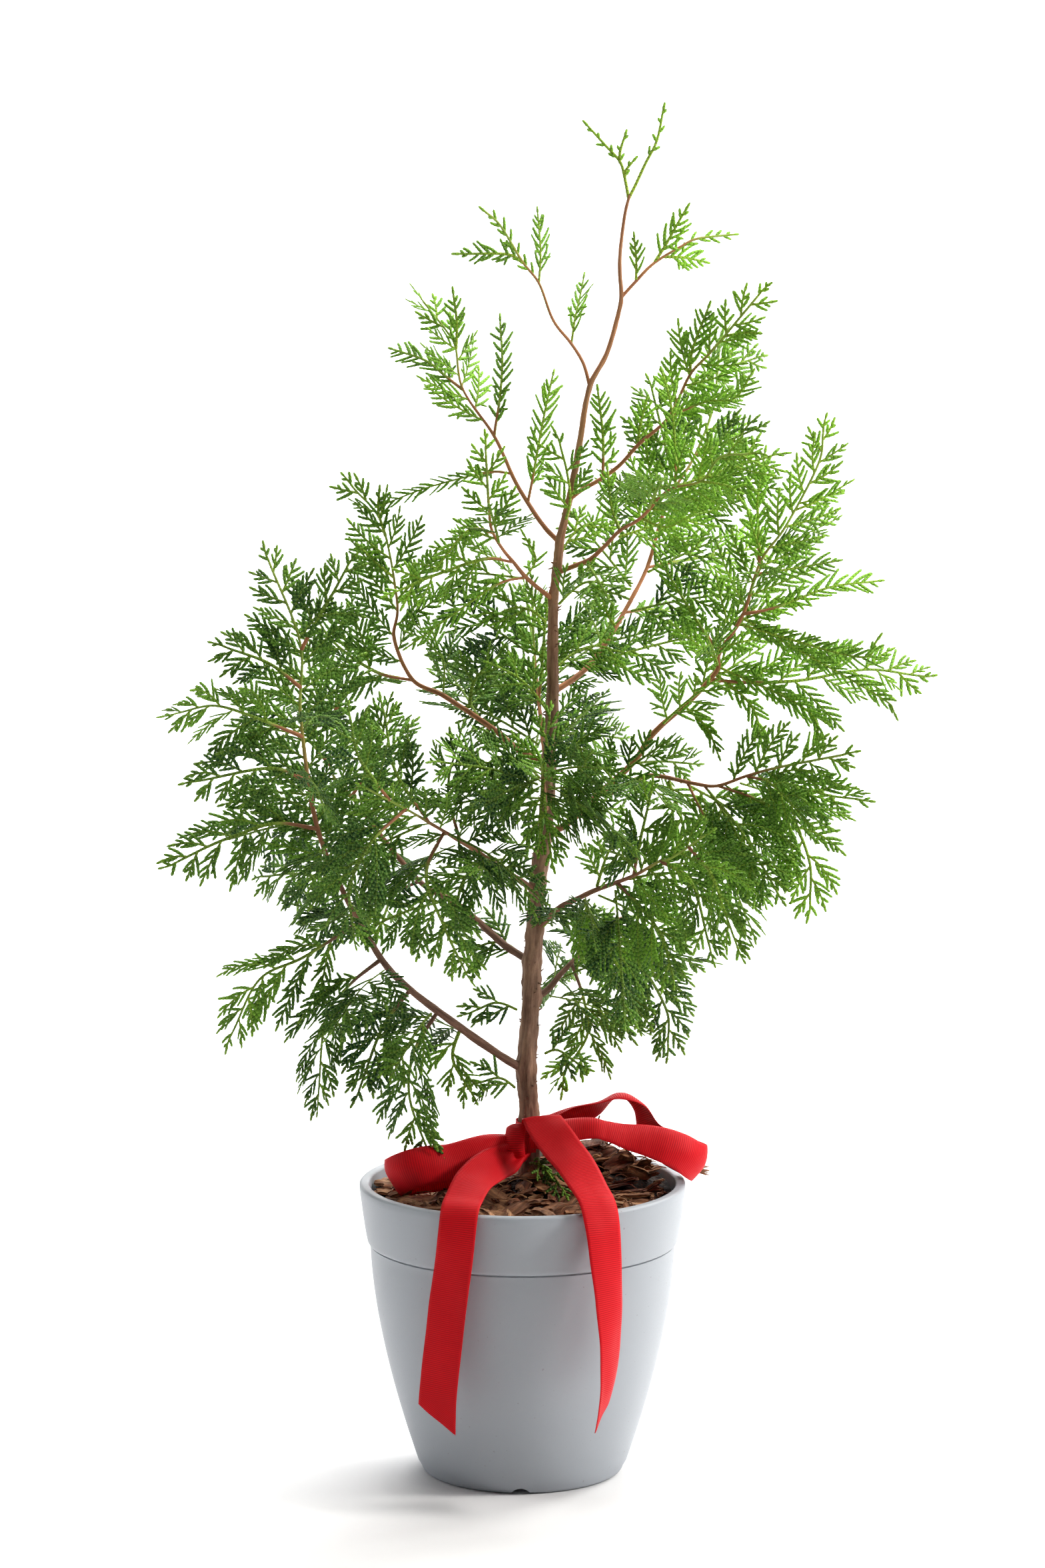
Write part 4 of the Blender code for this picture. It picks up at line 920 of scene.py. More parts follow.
def branch_parts(name, foliage):
    """Woody parts of a branch, with its foliage grown on the way."""
    width, _, _, points, limbs = BRANCHES[name]
    path, run = branch_path(name, points, branch_frame(name)[0])
    radii = np.maximum(width * MM * (1 - run / run[-1]) ** 0.75, THINNEST_STEM)
    parts = [wood_tube(path, radii, 10, foliage.draw.random() * 50, 0.16, green_from=0.62)]
    grow_stem(name, foliage, path, run)
    for limb in limbs:
        parts += grow_limb(name, foliage, path, limb)
    for k in range(FILL.get(name, 0)):
        grow_filler(name, foliage, path, k)
    return parts


class TREE_OT_branches(bpy.types.Operator):
    """Builds each branch's woody stem and its fronds of scale leaves"""
    bl_idname = "tree.branches"
    bl_label = "Branches and foliage"

    def execute(self, context):
        leaves = foliage_material()
        wood = context.scene.tree_wood
        twig = wood_material("twig_bark", (0.230, 0.115, 0.070), (0.090, 0.040, 0.024), 1500.0, 200.0,
                             0.0004, green=(0.26, 0.36, 0.05), top=tuple(wood.twig),
                             top_span=(0.34, 0.50))
        for number, name in enumerate(BRANCHES):
            foliage = Foliage(31 + number)
            parts = branch_parts(name, foliage)
            foliage.flush()
            place(join_parts(f"{name}_wood", parts), name, twig, "stem", f"{name}_stem")
            place(foliage.collector.mesh(f"{name}_fronds"), name, leaves, "foliage",
                  f"{name}_spray")
        return {"FINISHED"}


STUBS = 90
STUB_TAPER = np.array([1.1, 0.8, 0.6, 0.3])


def branch_knots():
    """Height, angle and size of the trunk's swelling at each branch that leaves it."""
    knots = []
    for name, joint in JOINTS.items():
        if name in BRANCHES and name != "right_fork":
            outwards = branch_frame(name)[1]
            angle = math.atan2(-outwards[0], outwards[1])
            knots.append((joint["pos_m"][2] + 0.002, angle % (2 * math.pi), 0.30))
    return knots


def trunk_stub(draw):
    """The base of a shed leaf or twig on the trunk."""
    height = draw.uniform(0.205, 0.60)
    angle = draw.uniform(0, 2 * math.pi)
    out = np.array([math.cos(angle), math.sin(angle), draw.uniform(-0.5, 0.9)])
    radius = float(trunk_radius_at(height))
    start = (np.array([float(trunk_middle(height)), 0.0, height])
             + out * np.array([radius, radius, 0]) * 0.8)
    long = draw.uniform(0.0018, 0.0045)
    path = np.array([start + unit(out) * long * share for share in (0.0, 0.4, 0.8, 1.0)])
    radii = STUB_TAPER * draw.uniform(0.4, 0.9) * MM
    return wood_tube(path, radii, 7, draw.random() * 9, 0.3)


def leader_fronds():
    """The twigs at the top, bare below and with small leaflets above."""
    foliage = Foliage(7)
    for route in LEADERS:
        path, run = smooth_path([(x * MM, 0, z * MM) for x, z in route], TWIG_STEP)
        foliage.sprig(path, run, np.array([0.15, -1, 0.0]), 0.0, 0.72,
                      first=0.45 * run[-1] if run[-1] > 0.03 else 0.0, size=0.42, spread=2.0)
    foliage.flush()
    return foliage.collector.mesh("leader_fronds")


def shoot_fronds():
    """The short shoots that leave the trunk itself."""
    foliage = Foliage(8)
    for route in SHOOTS:
        path, run = smooth_path(in_metres(route), TWIG_STEP)
        # Painted shade, with the growth's own colour: the shoots get darker the lower they leave the trunk
        tone = min(max(route[0][2] / 620 - 0.40, 0.05), 0.5)
        foliage.limb(path, run, np.array([0.1, -1, 0.25]), 0.2, tone, bare=0.18, reach=0.4,
                     width=THIN_STALK)
    foliage.flush()
    return foliage.collector.mesh("shoot_fronds")


class TREE_OT_trunk(bpy.types.Operator):
    """Builds the ridged trunk, its top twigs and the short shoots on it"""
    bl_idname = "tree.trunk"
    bl_label = "Trunk"

    def execute(self, context):
        wood = context.scene.tree_wood
        bark = wood_material("trunk_bark", tuple(wood.bark), (0.100, 0.045, 0.028), 520.0, 70.0, 0.0014,
                             top=(0.400, 0.170, 0.070))
        path, _ = smooth_path([(x * MM, 0, z * MM) for x, z, _ in TRUNK_ROUTE], 0.0016)
        parts = [wood_tube(path, trunk_radius_at(path[:, 2]), 28, 3.1, 0.24, knots=branch_knots())]
        draw = random.Random(12)
        parts += [trunk_stub(draw) for _ in range(STUBS)]
        place(join_parts("trunk_bark", parts), "tree", bark, "trunk", "trunk")
        leaves = foliage_material()
        place(leader_fronds(), "tree", leaves, "foliage", "leader_twig_1", "leader_twig_2")
        place(shoot_fronds(), "tree", leaves, "foliage", "trunk_sprig_1", "trunk_sprig_2",
              "trunk_sprig_3")
        return {"FINISHED"}


# ---------------------------------------------------------------- pot

# The pot's sizes in mm
FOOT_RADIUS, STEP_HEIGHT, BAND_RADIUS, RIM_RADIUS, POT_HEIGHT = 65.0, 150.0, 98.0, 105.0, 190.0
POT_WALL, LIP_WIDTH = 3.0, 6.5
BELLY = 1.62              # how early the side swells out: 1 is a plain cone
DRAIN_RADIUS, DRAIN_CIRCLE = 5.0, 34.0
NOTCH_RADIUS, NOTCH_DROP = 7.0, 3.0
CREASE_ANGLE = 0.9        # corners sharper than this stay sharp, radians


def pot_side(height):
    """Outer radius of the pot below its band, in mm."""
    share = 1 - min(height, STEP_HEIGHT) / STEP_HEIGHT
    return FOOT_RADIUS + (BAND_RADIUS - FOOT_RADIUS) * (1 - share ** BELLY)


def corner_points(r, h, radius, first, last, count=6):
    """Points of a rounded corner about (r, h), angles in degrees."""
    return [(r + radius * math.cos(math.radians(a)), h + radius * math.sin(math.radians(a)))
            for a in np.linspace(first, last, count)]


def pot_profile():
    """(radius, height) in mm from the middle of the underside, up the outside and down the inside."""
    foot = 4.6
    rows = [(0.001, 0.6), (FOOT_RADIUS - 12, 0.6), (FOOT_RADIUS - 10.5, 0.0)]
    rows += corner_points(FOOT_RADIUS - 4.2, foot, foot, -90, -8, 7)
    rows += [(pot_side(h), h) for h in np.linspace(8, STEP_HEIGHT - 1.2, 34)]
    edge = pot_side(STEP_HEIGHT)
    rows += [(edge + 0.15, STEP_HEIGHT - 0.5), (edge + 0.1, STEP_HEIGHT - 0.1),
             (edge - 0.75, STEP_HEIGHT + 0.25), (edge - 0.8, STEP_HEIGHT + 0.75),
             (edge + 0.5, STEP_HEIGHT + 1.1), (edge + 1.5, STEP_HEIGHT + 1.5),
             (edge + 1.95, STEP_HEIGHT + 2.4)]
    rows += [(edge + 2.0 + (RIM_RADIUS - 0.35 - edge - 2.0) * t ** 0.8, STEP_HEIGHT + 3 + 31.5 * t)
             for t in np.linspace(0.05, 1, 8)]
    rows += corner_points(RIM_RADIUS - 2.3, POT_HEIGHT - 2.3, 2.3, 15, 84, 7)
    rows += corner_points(RIM_RADIUS - LIP_WIDTH + 2.0, POT_HEIGHT - 2.0, 2.0, 96, 178, 6)
    rows += [(RIM_RADIUS - LIP_WIDTH - 0.2, POT_HEIGHT - 8), (RIM_RADIUS - LIP_WIDTH - 0.5, 176)]
    rows += [(pot_side(h) - POT_WALL, h) for h in np.linspace(148, 9, 14)]
    rows += [(pot_side(6) - 7, 3.6), (0.001, 3.5)]
    return rows


def turned_mesh(name, rows, segments):
    """A closed mesh turned about the Z axis from (radius, height) rows in mm, from axis to axis."""
    turn = np.arange(segments) * 2 * math.pi / segments
    inner = np.array(rows[1:-1]) * MM
    points = np.stack([inner[:, :1] * np.cos(turn), inner[:, :1] * np.sin(turn),
                       np.repeat(inner[:, 1:], segments, 1)], axis=2).reshape(-1, 3)
    low, high = len(points), len(points) + 1
    points = np.vstack([points, (0, 0, rows[0][1] * MM), (0, 0, rows[-1][1] * MM)])
    rings = np.arange(len(inner) - 1)[:, None] * segments
    here = np.arange(segments)[None]
    after = (here + 1) % segments
    quads = np.stack([rings + here, rings + after, rings + segments + after, rings + segments + here],
                     axis=2).reshape(-1, 4)
    last = (len(inner) - 1) * segments
    tris = [(low, (i + 1) % segments, i) for i in range(segments)]
    tris += [(high, last + i, last + (i + 1) % segments) for i in range(segments)]
    return fill_mesh(name, points, quads, tris)


def cutter(name, radius, length, where, turn=None):
    """A hidden cylinder that cuts a hole or a groove."""
    rows = [(0.001, -length / 2), (radius, -length / 2), (radius, length / 2), (0.001, length / 2)]
    made = bpy.data.objects.new(name, turned_mesh(name, rows, 32))
    made.data.polygons.foreach_set("use_smooth", [False] * len(made.data.polygons))
    bpy.context.scene.collection.objects.link(made)
    made.location = [c * MM for c in where]
    if turn is not None:
        made.rotation_euler = (0, math.pi / 2, turn)
    made.hide_render = True
    made.display_type = "WIRE"
    return made


def plain_color(net, color):
    """A colour that other nodes can take, the same all over."""
    return net.mix(0.0, color, (1, 1, 1))


def pot_plastic(paint):
    """Satin plastic: almost even, with a few scuffs and dark specks."""
    made, net, shader = shaded("pot_plastic", 0.5, Coat_Roughness=0.4)
    place_ = net.places()
    mottle = use(net, mottle_group(), Vector=place_, Cloud_Scale=9.0, Speck_Scale=1100.0, Depth=0.05)
    drawn = net.node("ShaderNodeVectorMath", {0: place_, 1: (60.0, 60.0, 420.0)},
                     operation="MULTIPLY")
    scuffs = net.math("MULTIPLY", net.ramp(net.noise(drawn, 1.0, 5.0, 0.75), 0.70, 0.80),
                      net.ramp(net.noise(place_, 38.0, 1.0), 0.60, 0.70))
    specks = net.ramp(net.noise(place_, 420.0, 1.0), 0.765, 0.79)
    color = multiply(net, plain_color(net, paint), mottle["Tone"])
    color = net.mix(net.math("MULTIPLY", scuffs, 0.35), color, (0.62, 0.63, 0.65))
    color = net.mix(net.math("MULTIPLY", specks, 0.40), color, (0.16, 0.12, 0.10))
    net.put(shader.inputs["Base Color"], color)
    net.put(shader.inputs["Roughness"], net.ramp(mottle["Specks"], 0.3, 0.7, 0.42, 0.58))
    height = net.math("ADD", mottle["Specks"], net.math("MULTIPLY", scuffs, -1.5))
    net.put(shader.inputs["Normal"], bump(net, height, 0.25, 0.00006))
    return made


def ballast_filler():
    """Rough grey filler, blotched."""
    made, net, shader = shaded("ballast_filler", 0.9)
    mottle = use(net, mottle_group(), Vector=net.places(), Cloud_Scale=60.0, Speck_Scale=700.0,
                 Depth=0.5)
    net.put(shader.inputs["Base Color"],
            multiply(net, plain_color(net, (0.30, 0.29, 0.27)), mottle["Tone"]))
    net.put(shader.inputs["Normal"], bump(net, mottle["Specks"], 0.8, 0.0008))
    return made


def drawn_rod():
    """Bright drawn steel, streaked along its length."""
    made, net, shader = shaded("drawn_rod", 0.35, Metallic=1.0)
    ridges = use(net, streaks_group(), Vector=net.places(), Across_Scale=3000.0,
                 Along_Scale=40.0)["Ridges"]
    net.put(shader.inputs["Base Color"], net.mix(ridges, (0.36, 0.36, 0.37), (0.52, 0.52, 0.53)))
    net.put(shader.inputs["Roughness"], net.ramp(ridges, 0, 1, 0.28, 0.45))
    return made


class TREE_OT_pot(bpy.types.Operator):
    """Builds the tapered pot with its lip, step, foot notches and drain holes, and its filling's finish"""
    bl_idname = "tree.pot"
    bl_label = "Pot"

    def execute(self, context):
        pot = place(turned_mesh("pot_shell", pot_profile(), 192), "pot",
                    pot_plastic(tuple(context.scene.tree_pot.color)), "pot", "pot")
        pot.data.set_sharp_from_angle(angle=CREASE_ANGLE)
        cutters = []
        for i in range(4):
            turn = math.radians(45 + 90 * i)
            middle = (DRAIN_CIRCLE * math.cos(turn), DRAIN_CIRCLE * math.sin(turn), 0)
            cutters.append(cutter(f"drain_cutter_{i}", DRAIN_RADIUS, 20.0, middle))
        for i in range(3):
            turn = math.radians(-91 + 120 * i)
            middle = (FOOT_RADIUS * math.cos(turn), FOOT_RADIUS * math.sin(turn), -NOTCH_DROP)
            cutters.append(cutter(f"foot_cutter_{i}", NOTCH_RADIUS, 34.0, middle, turn))
        for item in cutters:
            cut = pot.modifiers.new(item.name, "BOOLEAN")
            cut.operation, cut.solver, cut.object = "DIFFERENCE", "EXACT", item
        fillings = {"ballast_plug": ballast_filler(), "trunk_core": drawn_rod(),
                    "soil_layer": soil_and_gap_shade_material()}
        for node, finish in fillings.items():
            mesh = frame["nodes"][node].data
            mesh.materials.clear()
            mesh.materials.append(finish)
        return {"FINISHED"}


# ---------------------------------------------------------------- mulch

# Sizes in mm
BARK_TOP, BED_UNDERSIDE = 181.5, 171.2
MOUND_HEIGHT, HEAP_HEIGHT = 22.0, 15.0
BED_RADIUS, BED_HOLE = 96.5, 7.2
BED_ROWS, BED_TURNS = 34, 110
LIP_GAP = 1.2
# Layers of loose chips: how far above the bed, how many, least and most length
CHIP_LAYERS = [(0.0, 190, 8, 20), (2.5, 150, 10, 26), (5.0, 80, 16, 34)]
FIBRES, TUFT_FIBRES = 230, 26
# Woody roots: points, thickness, tone
ROOTS = [
    ([(22, 38, 203), (28, 38, 212), (37, 37.5, 218), (47, 37, 217), (55, 36, 209)], 1.25, 0.0),
    ([(34, 37, 217), (36, 35, 211), (37, 33, 204)], 0.7, 0.1),
    ([(44, 36, 217), (48, 35, 220), (50, 35, 225)], 0.9, 0.7),
    ([(50, 36, 215), (60, 34, 211), (68, 30, 203)], 1.3, 0.5),
]
# Chips laid one by one: x, y, turn, tilt, roll (degrees), length, width, thickness, tone, rise (mm)
LAID_CHIPS = [
    (-57, -66, 8, 4, -14, 38, 17, 4.5, 0.55, 1.5), (-21, -80, 78, 35, 30, 24, 13, 6, 0.62, 2.0),
    (-2, -64, 18, 8, 10, 30, 6, 4, 0.80, 3.5), (-9, -76, -30, 6, 12, 26, 7, 3.5, 0.70, 2.5),
    (14, -70, 62, 16, 14, 22, 14, 6, 0.50, 4.0), (-6, -88, 12, 28, 0, 15, 11, 4, 0.55, 1.0),
    (28, -84, 88, 10, 4, 13, 6, 3, 0.72, 1.0), (38, -62, 6, 2, 8, 24, 12, 4, 0.50, 2.5),
    (66, -52, 4, 6, -10, 30, 9, 4, 0.60, 3.0), (-70, -44, -20, 12, 8, 22, 11, 4, 0.60, 3.0),
    (-80, -30, 30, 10, -6, 18, 9, 3, 0.52, 2.0), (72, -28, 150, 8, 10, 26, 8, 4, 0.48, 4.0),
    (50, -74, 20, 5, 0, 20, 8, 3, 0.66, 1.5), (8, -50, 130, 20, 10, 22, 10, 4, 0.42, 4.0),
    (-38, -62, 23, 3, 0, 21, 11, 4, 0.52, 3.0), (22, -52, 63, 4, 0, 21, 11, 4, 0.48, 3.0),
    (8, 66, 110, 4, 0, 21, 11, 4, 0.5, 3.0), (-62, 32, 50, -3, 0, 21, 11, 4, 0.5, 3.0),
]


def bed_height(x, y):
    """Top of the mulch bed in mm: a gentle roll, a heap round the trunk and a mound behind it."""
    far = math.hypot(x - 52, y - 34) / 32
    near = math.hypot(x - 8, y + 4) / 34
    roll = 1.5 * math.sin(x / 17 + 1.0) * math.cos(y / 21)
    return (BARK_TOP + roll + MOUND_HEIGHT * math.exp(-far * far)
            + HEAP_HEIGHT * math.exp(-near * near))


def soil_and_gap_shade_material():
    """Dark crumbs: the soil's own colour, also laid on the mulch bed as painted shade in the gaps between
    the chips.
    """
    found = bpy.data.materials.get("dark_soil_and_gap_shade")
    if found:
        return found
    made, net, shader = shaded("dark_soil_and_gap_shade", 0.95)
    place_ = net.places()
    mottle = use(net, mottle_group(), Vector=place_, Cloud_Scale=120.0, Speck_Scale=900.0, Depth=1.0)
    crumbs = net.node("ShaderNodeTexVoronoi", {"Vector": place_, "Scale": 420.0}).outputs["Distance"]
    color = net.mix(net.ramp(crumbs, 0.1, 0.6), (0.050, 0.030, 0.020), (0.012, 0.008, 0.006))
    net.put(shader.inputs["Base Color"], multiply(net, color, mottle["Tone"]))
    net.put(shader.inputs["Normal"], bump(net, crumbs, 1.0, 0.0012))
    return made


def chip_material():
    """Shredded bark: each chip has its own brown, with pale and dark fibres along it."""
    found = bpy.data.materials.get("bark_chips")
    if found:
        return found
    settings = bpy.context.scene.tree_wood
    made, net, shader = shaded("bark_chips", 0.85)
    grain = net.values("grain")
    tone = grain["Alpha"]
    streaks = use(net, streaks_group(), Vector=grain["Vector"], Across_Scale=900.0, Along_Scale=90.0)
    mottle = use(net, mottle_group(), Vector=net.places(), Cloud_Scale=160.0, Speck_Scale=1500.0,
                 Depth=0.9)
    dark = net.mix(tone, (0.030, 0.010, 0.006), (0.130, 0.045, 0.018))
    light = net.mix(tone, tuple(settings.chip), (0.560, 0.300, 0.130))
    color = net.mix(streaks["Ridges"], dark, light)
    net.put(shader.inputs["Base Color"], multiply(net, color, mottle["Tone"]))
    net.put(shader.inputs["Roughness"], net.ramp(streaks["Ridges"], 0, 1, 0.95, 0.7))
    net.put(shader.inputs["Normal"], bump(net, streaks["Height"], 1.0, 0.0012))
    return made


def chip(draw, x, y, base, turn, tilt, roll, length, width, thick, tone):
    """One torn slab: blunt and split at its ends, ridged along its length. All sizes in mm."""
    along, across = 9, 5
    seed = draw.random() * 100
    bend = draw.uniform(-0.10, 0.16)
    points, grain = [], []
    for face in (1, -1):
        for i in range(along):
            u = i / (along - 1) * 2 - 1
            taper = (1 - 0.42 * max(0.0, abs(u + 0.15) - 0.35) ** 1.2
                     + 0.16 * noise.noise(Vector((u * 2.2, seed, 0))))
            for j in range(across):
                v = j / (across - 1) * 2 - 1
                ragged = 0.16 * noise.noise(Vector((v * 3.1, seed, u * 1.3))) * (abs(u) ** 6)
                px = (u * (1 + ragged * 2.2)) * length / 2
                py = v * taper * width / 2 + 0.05 * width * math.sin(u * 2.3 + seed)
                crown = 1 - 0.55 * v ** 4 - 0.35 * u ** 6
                ridge = 0.22 * thick * noise.noise(Vector((u * 1.6 + seed, v * 4.2, face * 2.0)))
                pz = face * (thick / 2) * crown + ridge - bend * length * u * u * 0.5
                points.append((px, py, pz))
                grain.append((py * MM + seed, pz * MM * 1.5 + seed, px * MM, tone))
    side = along * across
    quads = []
    for i in range(along - 1):
        for j in range(across - 1):
            a = i * across + j
            quads.append((a, a + across, a + across + 1, a + 1))
            quads.append((side + a, side + a + 1, side + a + across + 1, side + a + across))
    ring = ([i * across for i in range(along)] + [side - across + j for j in range(1, across)]
            + [(along - 1 - i) * across + across - 1 for i in range(1, along)]
            + [across - 1 - j for j in range(1, across - 1)])
    for a, b in zip(ring, ring[1:] + ring[:1]):
        quads.append((a, b, side + b, side + a))
    spin = np.array(Euler([math.radians(a) for a in (roll, tilt, turn)]).to_matrix())
    laid = np.array(points) @ spin.T + (x, y, base)
    return laid * MM, np.array(grain), np.array(quads), np.zeros((0, 3), int)


def keep_in_pot(part):
    """Moves a chip inwards where it would pass through the pot's lip."""
    points = part[0]
    far = np.hypot(points[:, 0], points[:, 1])
    limit = (RIM_RADIUS - LIP_WIDTH - LIP_GAP) * MM
    low = points[:, 2] < (POT_HEIGHT + 1.0) * MM
    over = (far[low] - limit).max() if low.any() else 0
    if over > 0:
        middle = points.mean(0)[:2]
        points[:, :2] -= middle / max(np.linalg.norm(middle), 1e-6) * over
    return part


def polar(radius, angle):
    return radius * math.cos(angle), radius * math.sin(angle)


def bed_mesh():
    """The rough bed under the loose chips, a ring round the trunk with a flat underside."""
    points = []
    for i in range(BED_ROWS):
        share = i / (BED_ROWS - 1)
        for j in range(BED_TURNS):
            x, y = polar(BED_HOLE + (BED_RADIUS - BED_HOLE) * share, 2 * math.pi * j / BED_TURNS)
            x += 4 * (1 - share)
            lump = noise.fractal(Vector((x / 9, y / 9, 1.0)), 0.8, 2.1, 4)
            points.append((x * MM, y * MM, (bed_height(x, y) - 2.5 + 2.6 * lump) * MM))
    low = BED_UNDERSIDE * MM
    outer = [(x, y, low) for x, y, _ in points[-BED_TURNS:]]
    inner = [(x, y, low) for x, y, _ in points[:BED_TURNS]]
    rings = [i * BED_TURNS for i in range(BED_ROWS + 2)] + [0]
    quads = [(a + j, b + j, b + (j + 1) % BED_TURNS, a + (j + 1) % BED_TURNS)
             for a, b in zip(rings, rings[1:]) for j in range(BED_TURNS)]
    return fill_mesh("mulch_bed", np.array(points + outer + inner), quads, [])


def loose_chips(draw):
    """The listed chips, then layer on layer of random ones."""
    parts = []
    for x, y, turn, tilt, roll, length, width, thick, tone, rise in LAID_CHIPS:
        parts.append(chip(draw, x, y, bed_height(x, y) + rise, turn, tilt, roll, length, width, thick,
                          tone))
    for layer, count, least, most in CHIP_LAYERS:
        for _ in range(count):
            radius = 94 * math.sqrt(draw.uniform(0.012, 1.0))
            x, y = polar(radius, draw.uniform(0, 2 * math.pi))
            length = draw.uniform(least, most) * (0.62 if radius > 78 else 1)
            width = length * draw.uniform(0.24, 0.62)
            base = bed_height(x, y) - 1.0 + layer * draw.uniform(0.5, 1.0)
            turn, tilt, roll = draw.uniform(0, 360), draw.gauss(0, 17), draw.gauss(0, 24)
            thick = draw.uniform(1.4, 4.4)
            tone = min(max(draw.gauss(0.42, 0.28), 0.0), 1.0)
            parts.append(chip(draw, x, y, base, turn, tilt, roll, length, width, thick, tone))
    return [keep_in_pot(part) for part in parts]


def woody_strand(route, first, last, sides, seed, roughness, tone, spacing):
    """A thin ridged strand along points in mm, of one tone all over."""
    path, _ = smooth_path(in_metres(route), spacing)
    part = wood_tube(path, np.linspace(first, last, len(path)) * MM, sides, seed, roughness)
    part[1][:, 3] = tone
    return part


def fibre(draw):
    """One splinter lying on the chips, a little arched."""
    radius = 90 * math.sqrt(draw.uniform(0.02, 1.0))
    x, y = polar(radius, draw.uniform(0, 2 * math.pi))
    turn, long = draw.uniform(0, 2 * math.pi), draw.uniform(5, 20)
    arch = draw.uniform(0, 3.5)
    height = bed_height(x, y) + draw.uniform(1.5, 5)
    route = [(x + long * (t - 0.5) * math.cos(turn + t * 0.7),
              y + long * (t - 0.5) * math.sin(turn + t * 0.7),
              height + arch * math.sin(math.pi * t)) for t in (0, 0.35, 0.7, 1)]
    thick, seed = draw.uniform(0.18, 0.65), draw.random() * 9
    tone = draw.choice((0.15, 0.5, 1.0, 1.0))
    return keep_in_pot(woody_strand(route, thick, thick * 0.4, 6, seed, 0.3, tone, 0.0016))


def tuft_fibre(draw, number):
    """One fibre of the tuft that sticks out over the rim."""
    spread, lift = draw.uniform(-1, 1), draw.uniform(-1, 1)
    route = [(99, 13.5 + spread * 0.8, 194 + lift * 0.6), (107, 15.5 + spread * 1.2, 194.4 + lift),
             (118 + draw.uniform(-2, 3), 18 + spread * 3.6, 192 + lift * 3.0)]
    return woody_strand(route, 0.75, 0.22, 6, number, 0.35, draw.uniform(0.3, 0.8), 0.0012)


class TREE_OT_mulch(bpy.types.Operator):
    """Fills the pot with a bed of dark soil colour, painted shade in the gaps between the chips, under
    hundreds of torn bark chips, splinters and fibres
    """
    bl_idname = "tree.mulch"
    bl_label = "Mulch"

    def execute(self, context):
        draw = random.Random(5)
        chips = chip_material()
        # The bed wears the dark soil colour as painted shade in the gaps between the loose chips
        place(bed_mesh(), "tree", soil_and_gap_shade_material(), "bark", "bark_bed")
        place(join_parts("mulch_chips", loose_chips(draw)), "tree", chips, "bark",
              *[f"bark_chip_{i}" for i in range(1, 7)])
        fibres = [fibre(draw) for _ in range(FIBRES)]
        place(join_parts("mulch_fibres", fibres), "tree", chips, "bark")
        roots = [woody_strand(route, thick, thick * 0.6, 9, 4.0, 0.3, tone, 0.0012)
                 for route, thick, tone in ROOTS]
        place(join_parts("root_arch", roots), "tree", chips, "bark", "root_loop")
        tuft = [tuft_fibre(draw, number) for number in range(TUFT_FIBRES)]
        place(join_parts("rim_tuft", tuft), "tree", chips, "bark", "bark_fibre")
        return {"FINISHED"}


# ---------------------------------------------------------------- ribbon

RIBBON_WIDTH = 0.025
WRAP_WIDTH, KNOT_WIDTH = 0.019, 0.013
RIBBON_THICKNESS = 0.0005
RIB_PITCH, RIB_HEIGHT = 0.00127, 0.00011
GATHER_LENGTH = 0.016     # how far from the knot its grip gathers a strip
GATHER_DEPTH = 0.0042
TURN_STEPS = 60           # steps over which the width turns from one station's way to the next
SLANT_LENGTH = 0.03
# Ribbon strips: centre (x, y, z) and the way the width points (x, y, z), mm
TAIL_LEFT = [
    ((2, -15, 214), (0.50, -0.40, -0.80)), ((-3, -20, 213), (0.55, -0.35, -0.75)),
    ((-10, -29, 211), (0.62, -0.36, -0.66)), ((-20, -43, 209), (0.75, -0.38, -0.50)),
    ((-30, -63, 205), (0.86, -0.40, -0.30)), ((-36, -84, 199), (0.92, -0.38, -0.10)),
    ((-39, -99, 194), (0.93, -0.36, 0.0)), ((-41, -106, 180), (0.93, -0.36, 0.02)),
    ((-44, -107, 155), (0.93, -0.36, 0.03)), ((-49, -106, 115), (0.93, -0.36, 0.04)),
    ((-53, -104, 77), (0.94, -0.34, 0.04)), ((-54, -102, 51), (0.94, -0.34, 0.04)),
]
TAIL_RIGHT = [
    ((9, -11.5, 217), (1.0, -0.05, 0.15)), ((10, -12, 226), (1.0, -0.05, 0.12)),
    ((11, -13.5, 232), (1.0, -0.05, 0.10)), ((12, -18, 235), (1.0, 0.0, 0.08)),
    ((14, -25, 233), (0.98, 0.05, 0.16)), ((18, -35, 229), (0.94, 0.12, 0.26)),
    ((25, -48, 222), (0.90, 0.22, 0.32)), ((33, -63, 215), (0.90, 0.36, 0.22)),
    ((41, -80, 205), (0.90, 0.42, 0.10)), ((47, -95, 197), (0.88, 0.47, 0.0)),
    ((50, -104, 184), (0.85, 0.52, 0.0)), ((52, -108, 165), (0.78, 0.62, 0.0)),
    ((54, -111, 139), (0.66, 0.75, 0.0)), ((55, -112, 113), (0.52, 0.85, 0.0)),
    ((54, -113, 89), (0.39, 0.92, 0.0)), ((51, -113, 72), (0.26, 0.97, 0.0)),
    ((47, -112, 57), (0.10, 0.99, 0.0)),
]
KNOT_BAND = [
    ((-3, -10, 227), (1, -0.15, 0.1)), ((-4, -14, 228), (1, -0.1, 0.1)),
    ((-5, -20.5, 223), (1, -0.1, 0.2)), ((-5, -22.5, 215), (1, -0.1, 0.16)),
    ((-4, -19, 208), (1, 0, 0.1)), ((-3, -12, 206), (1, 0, 0.1)),
]
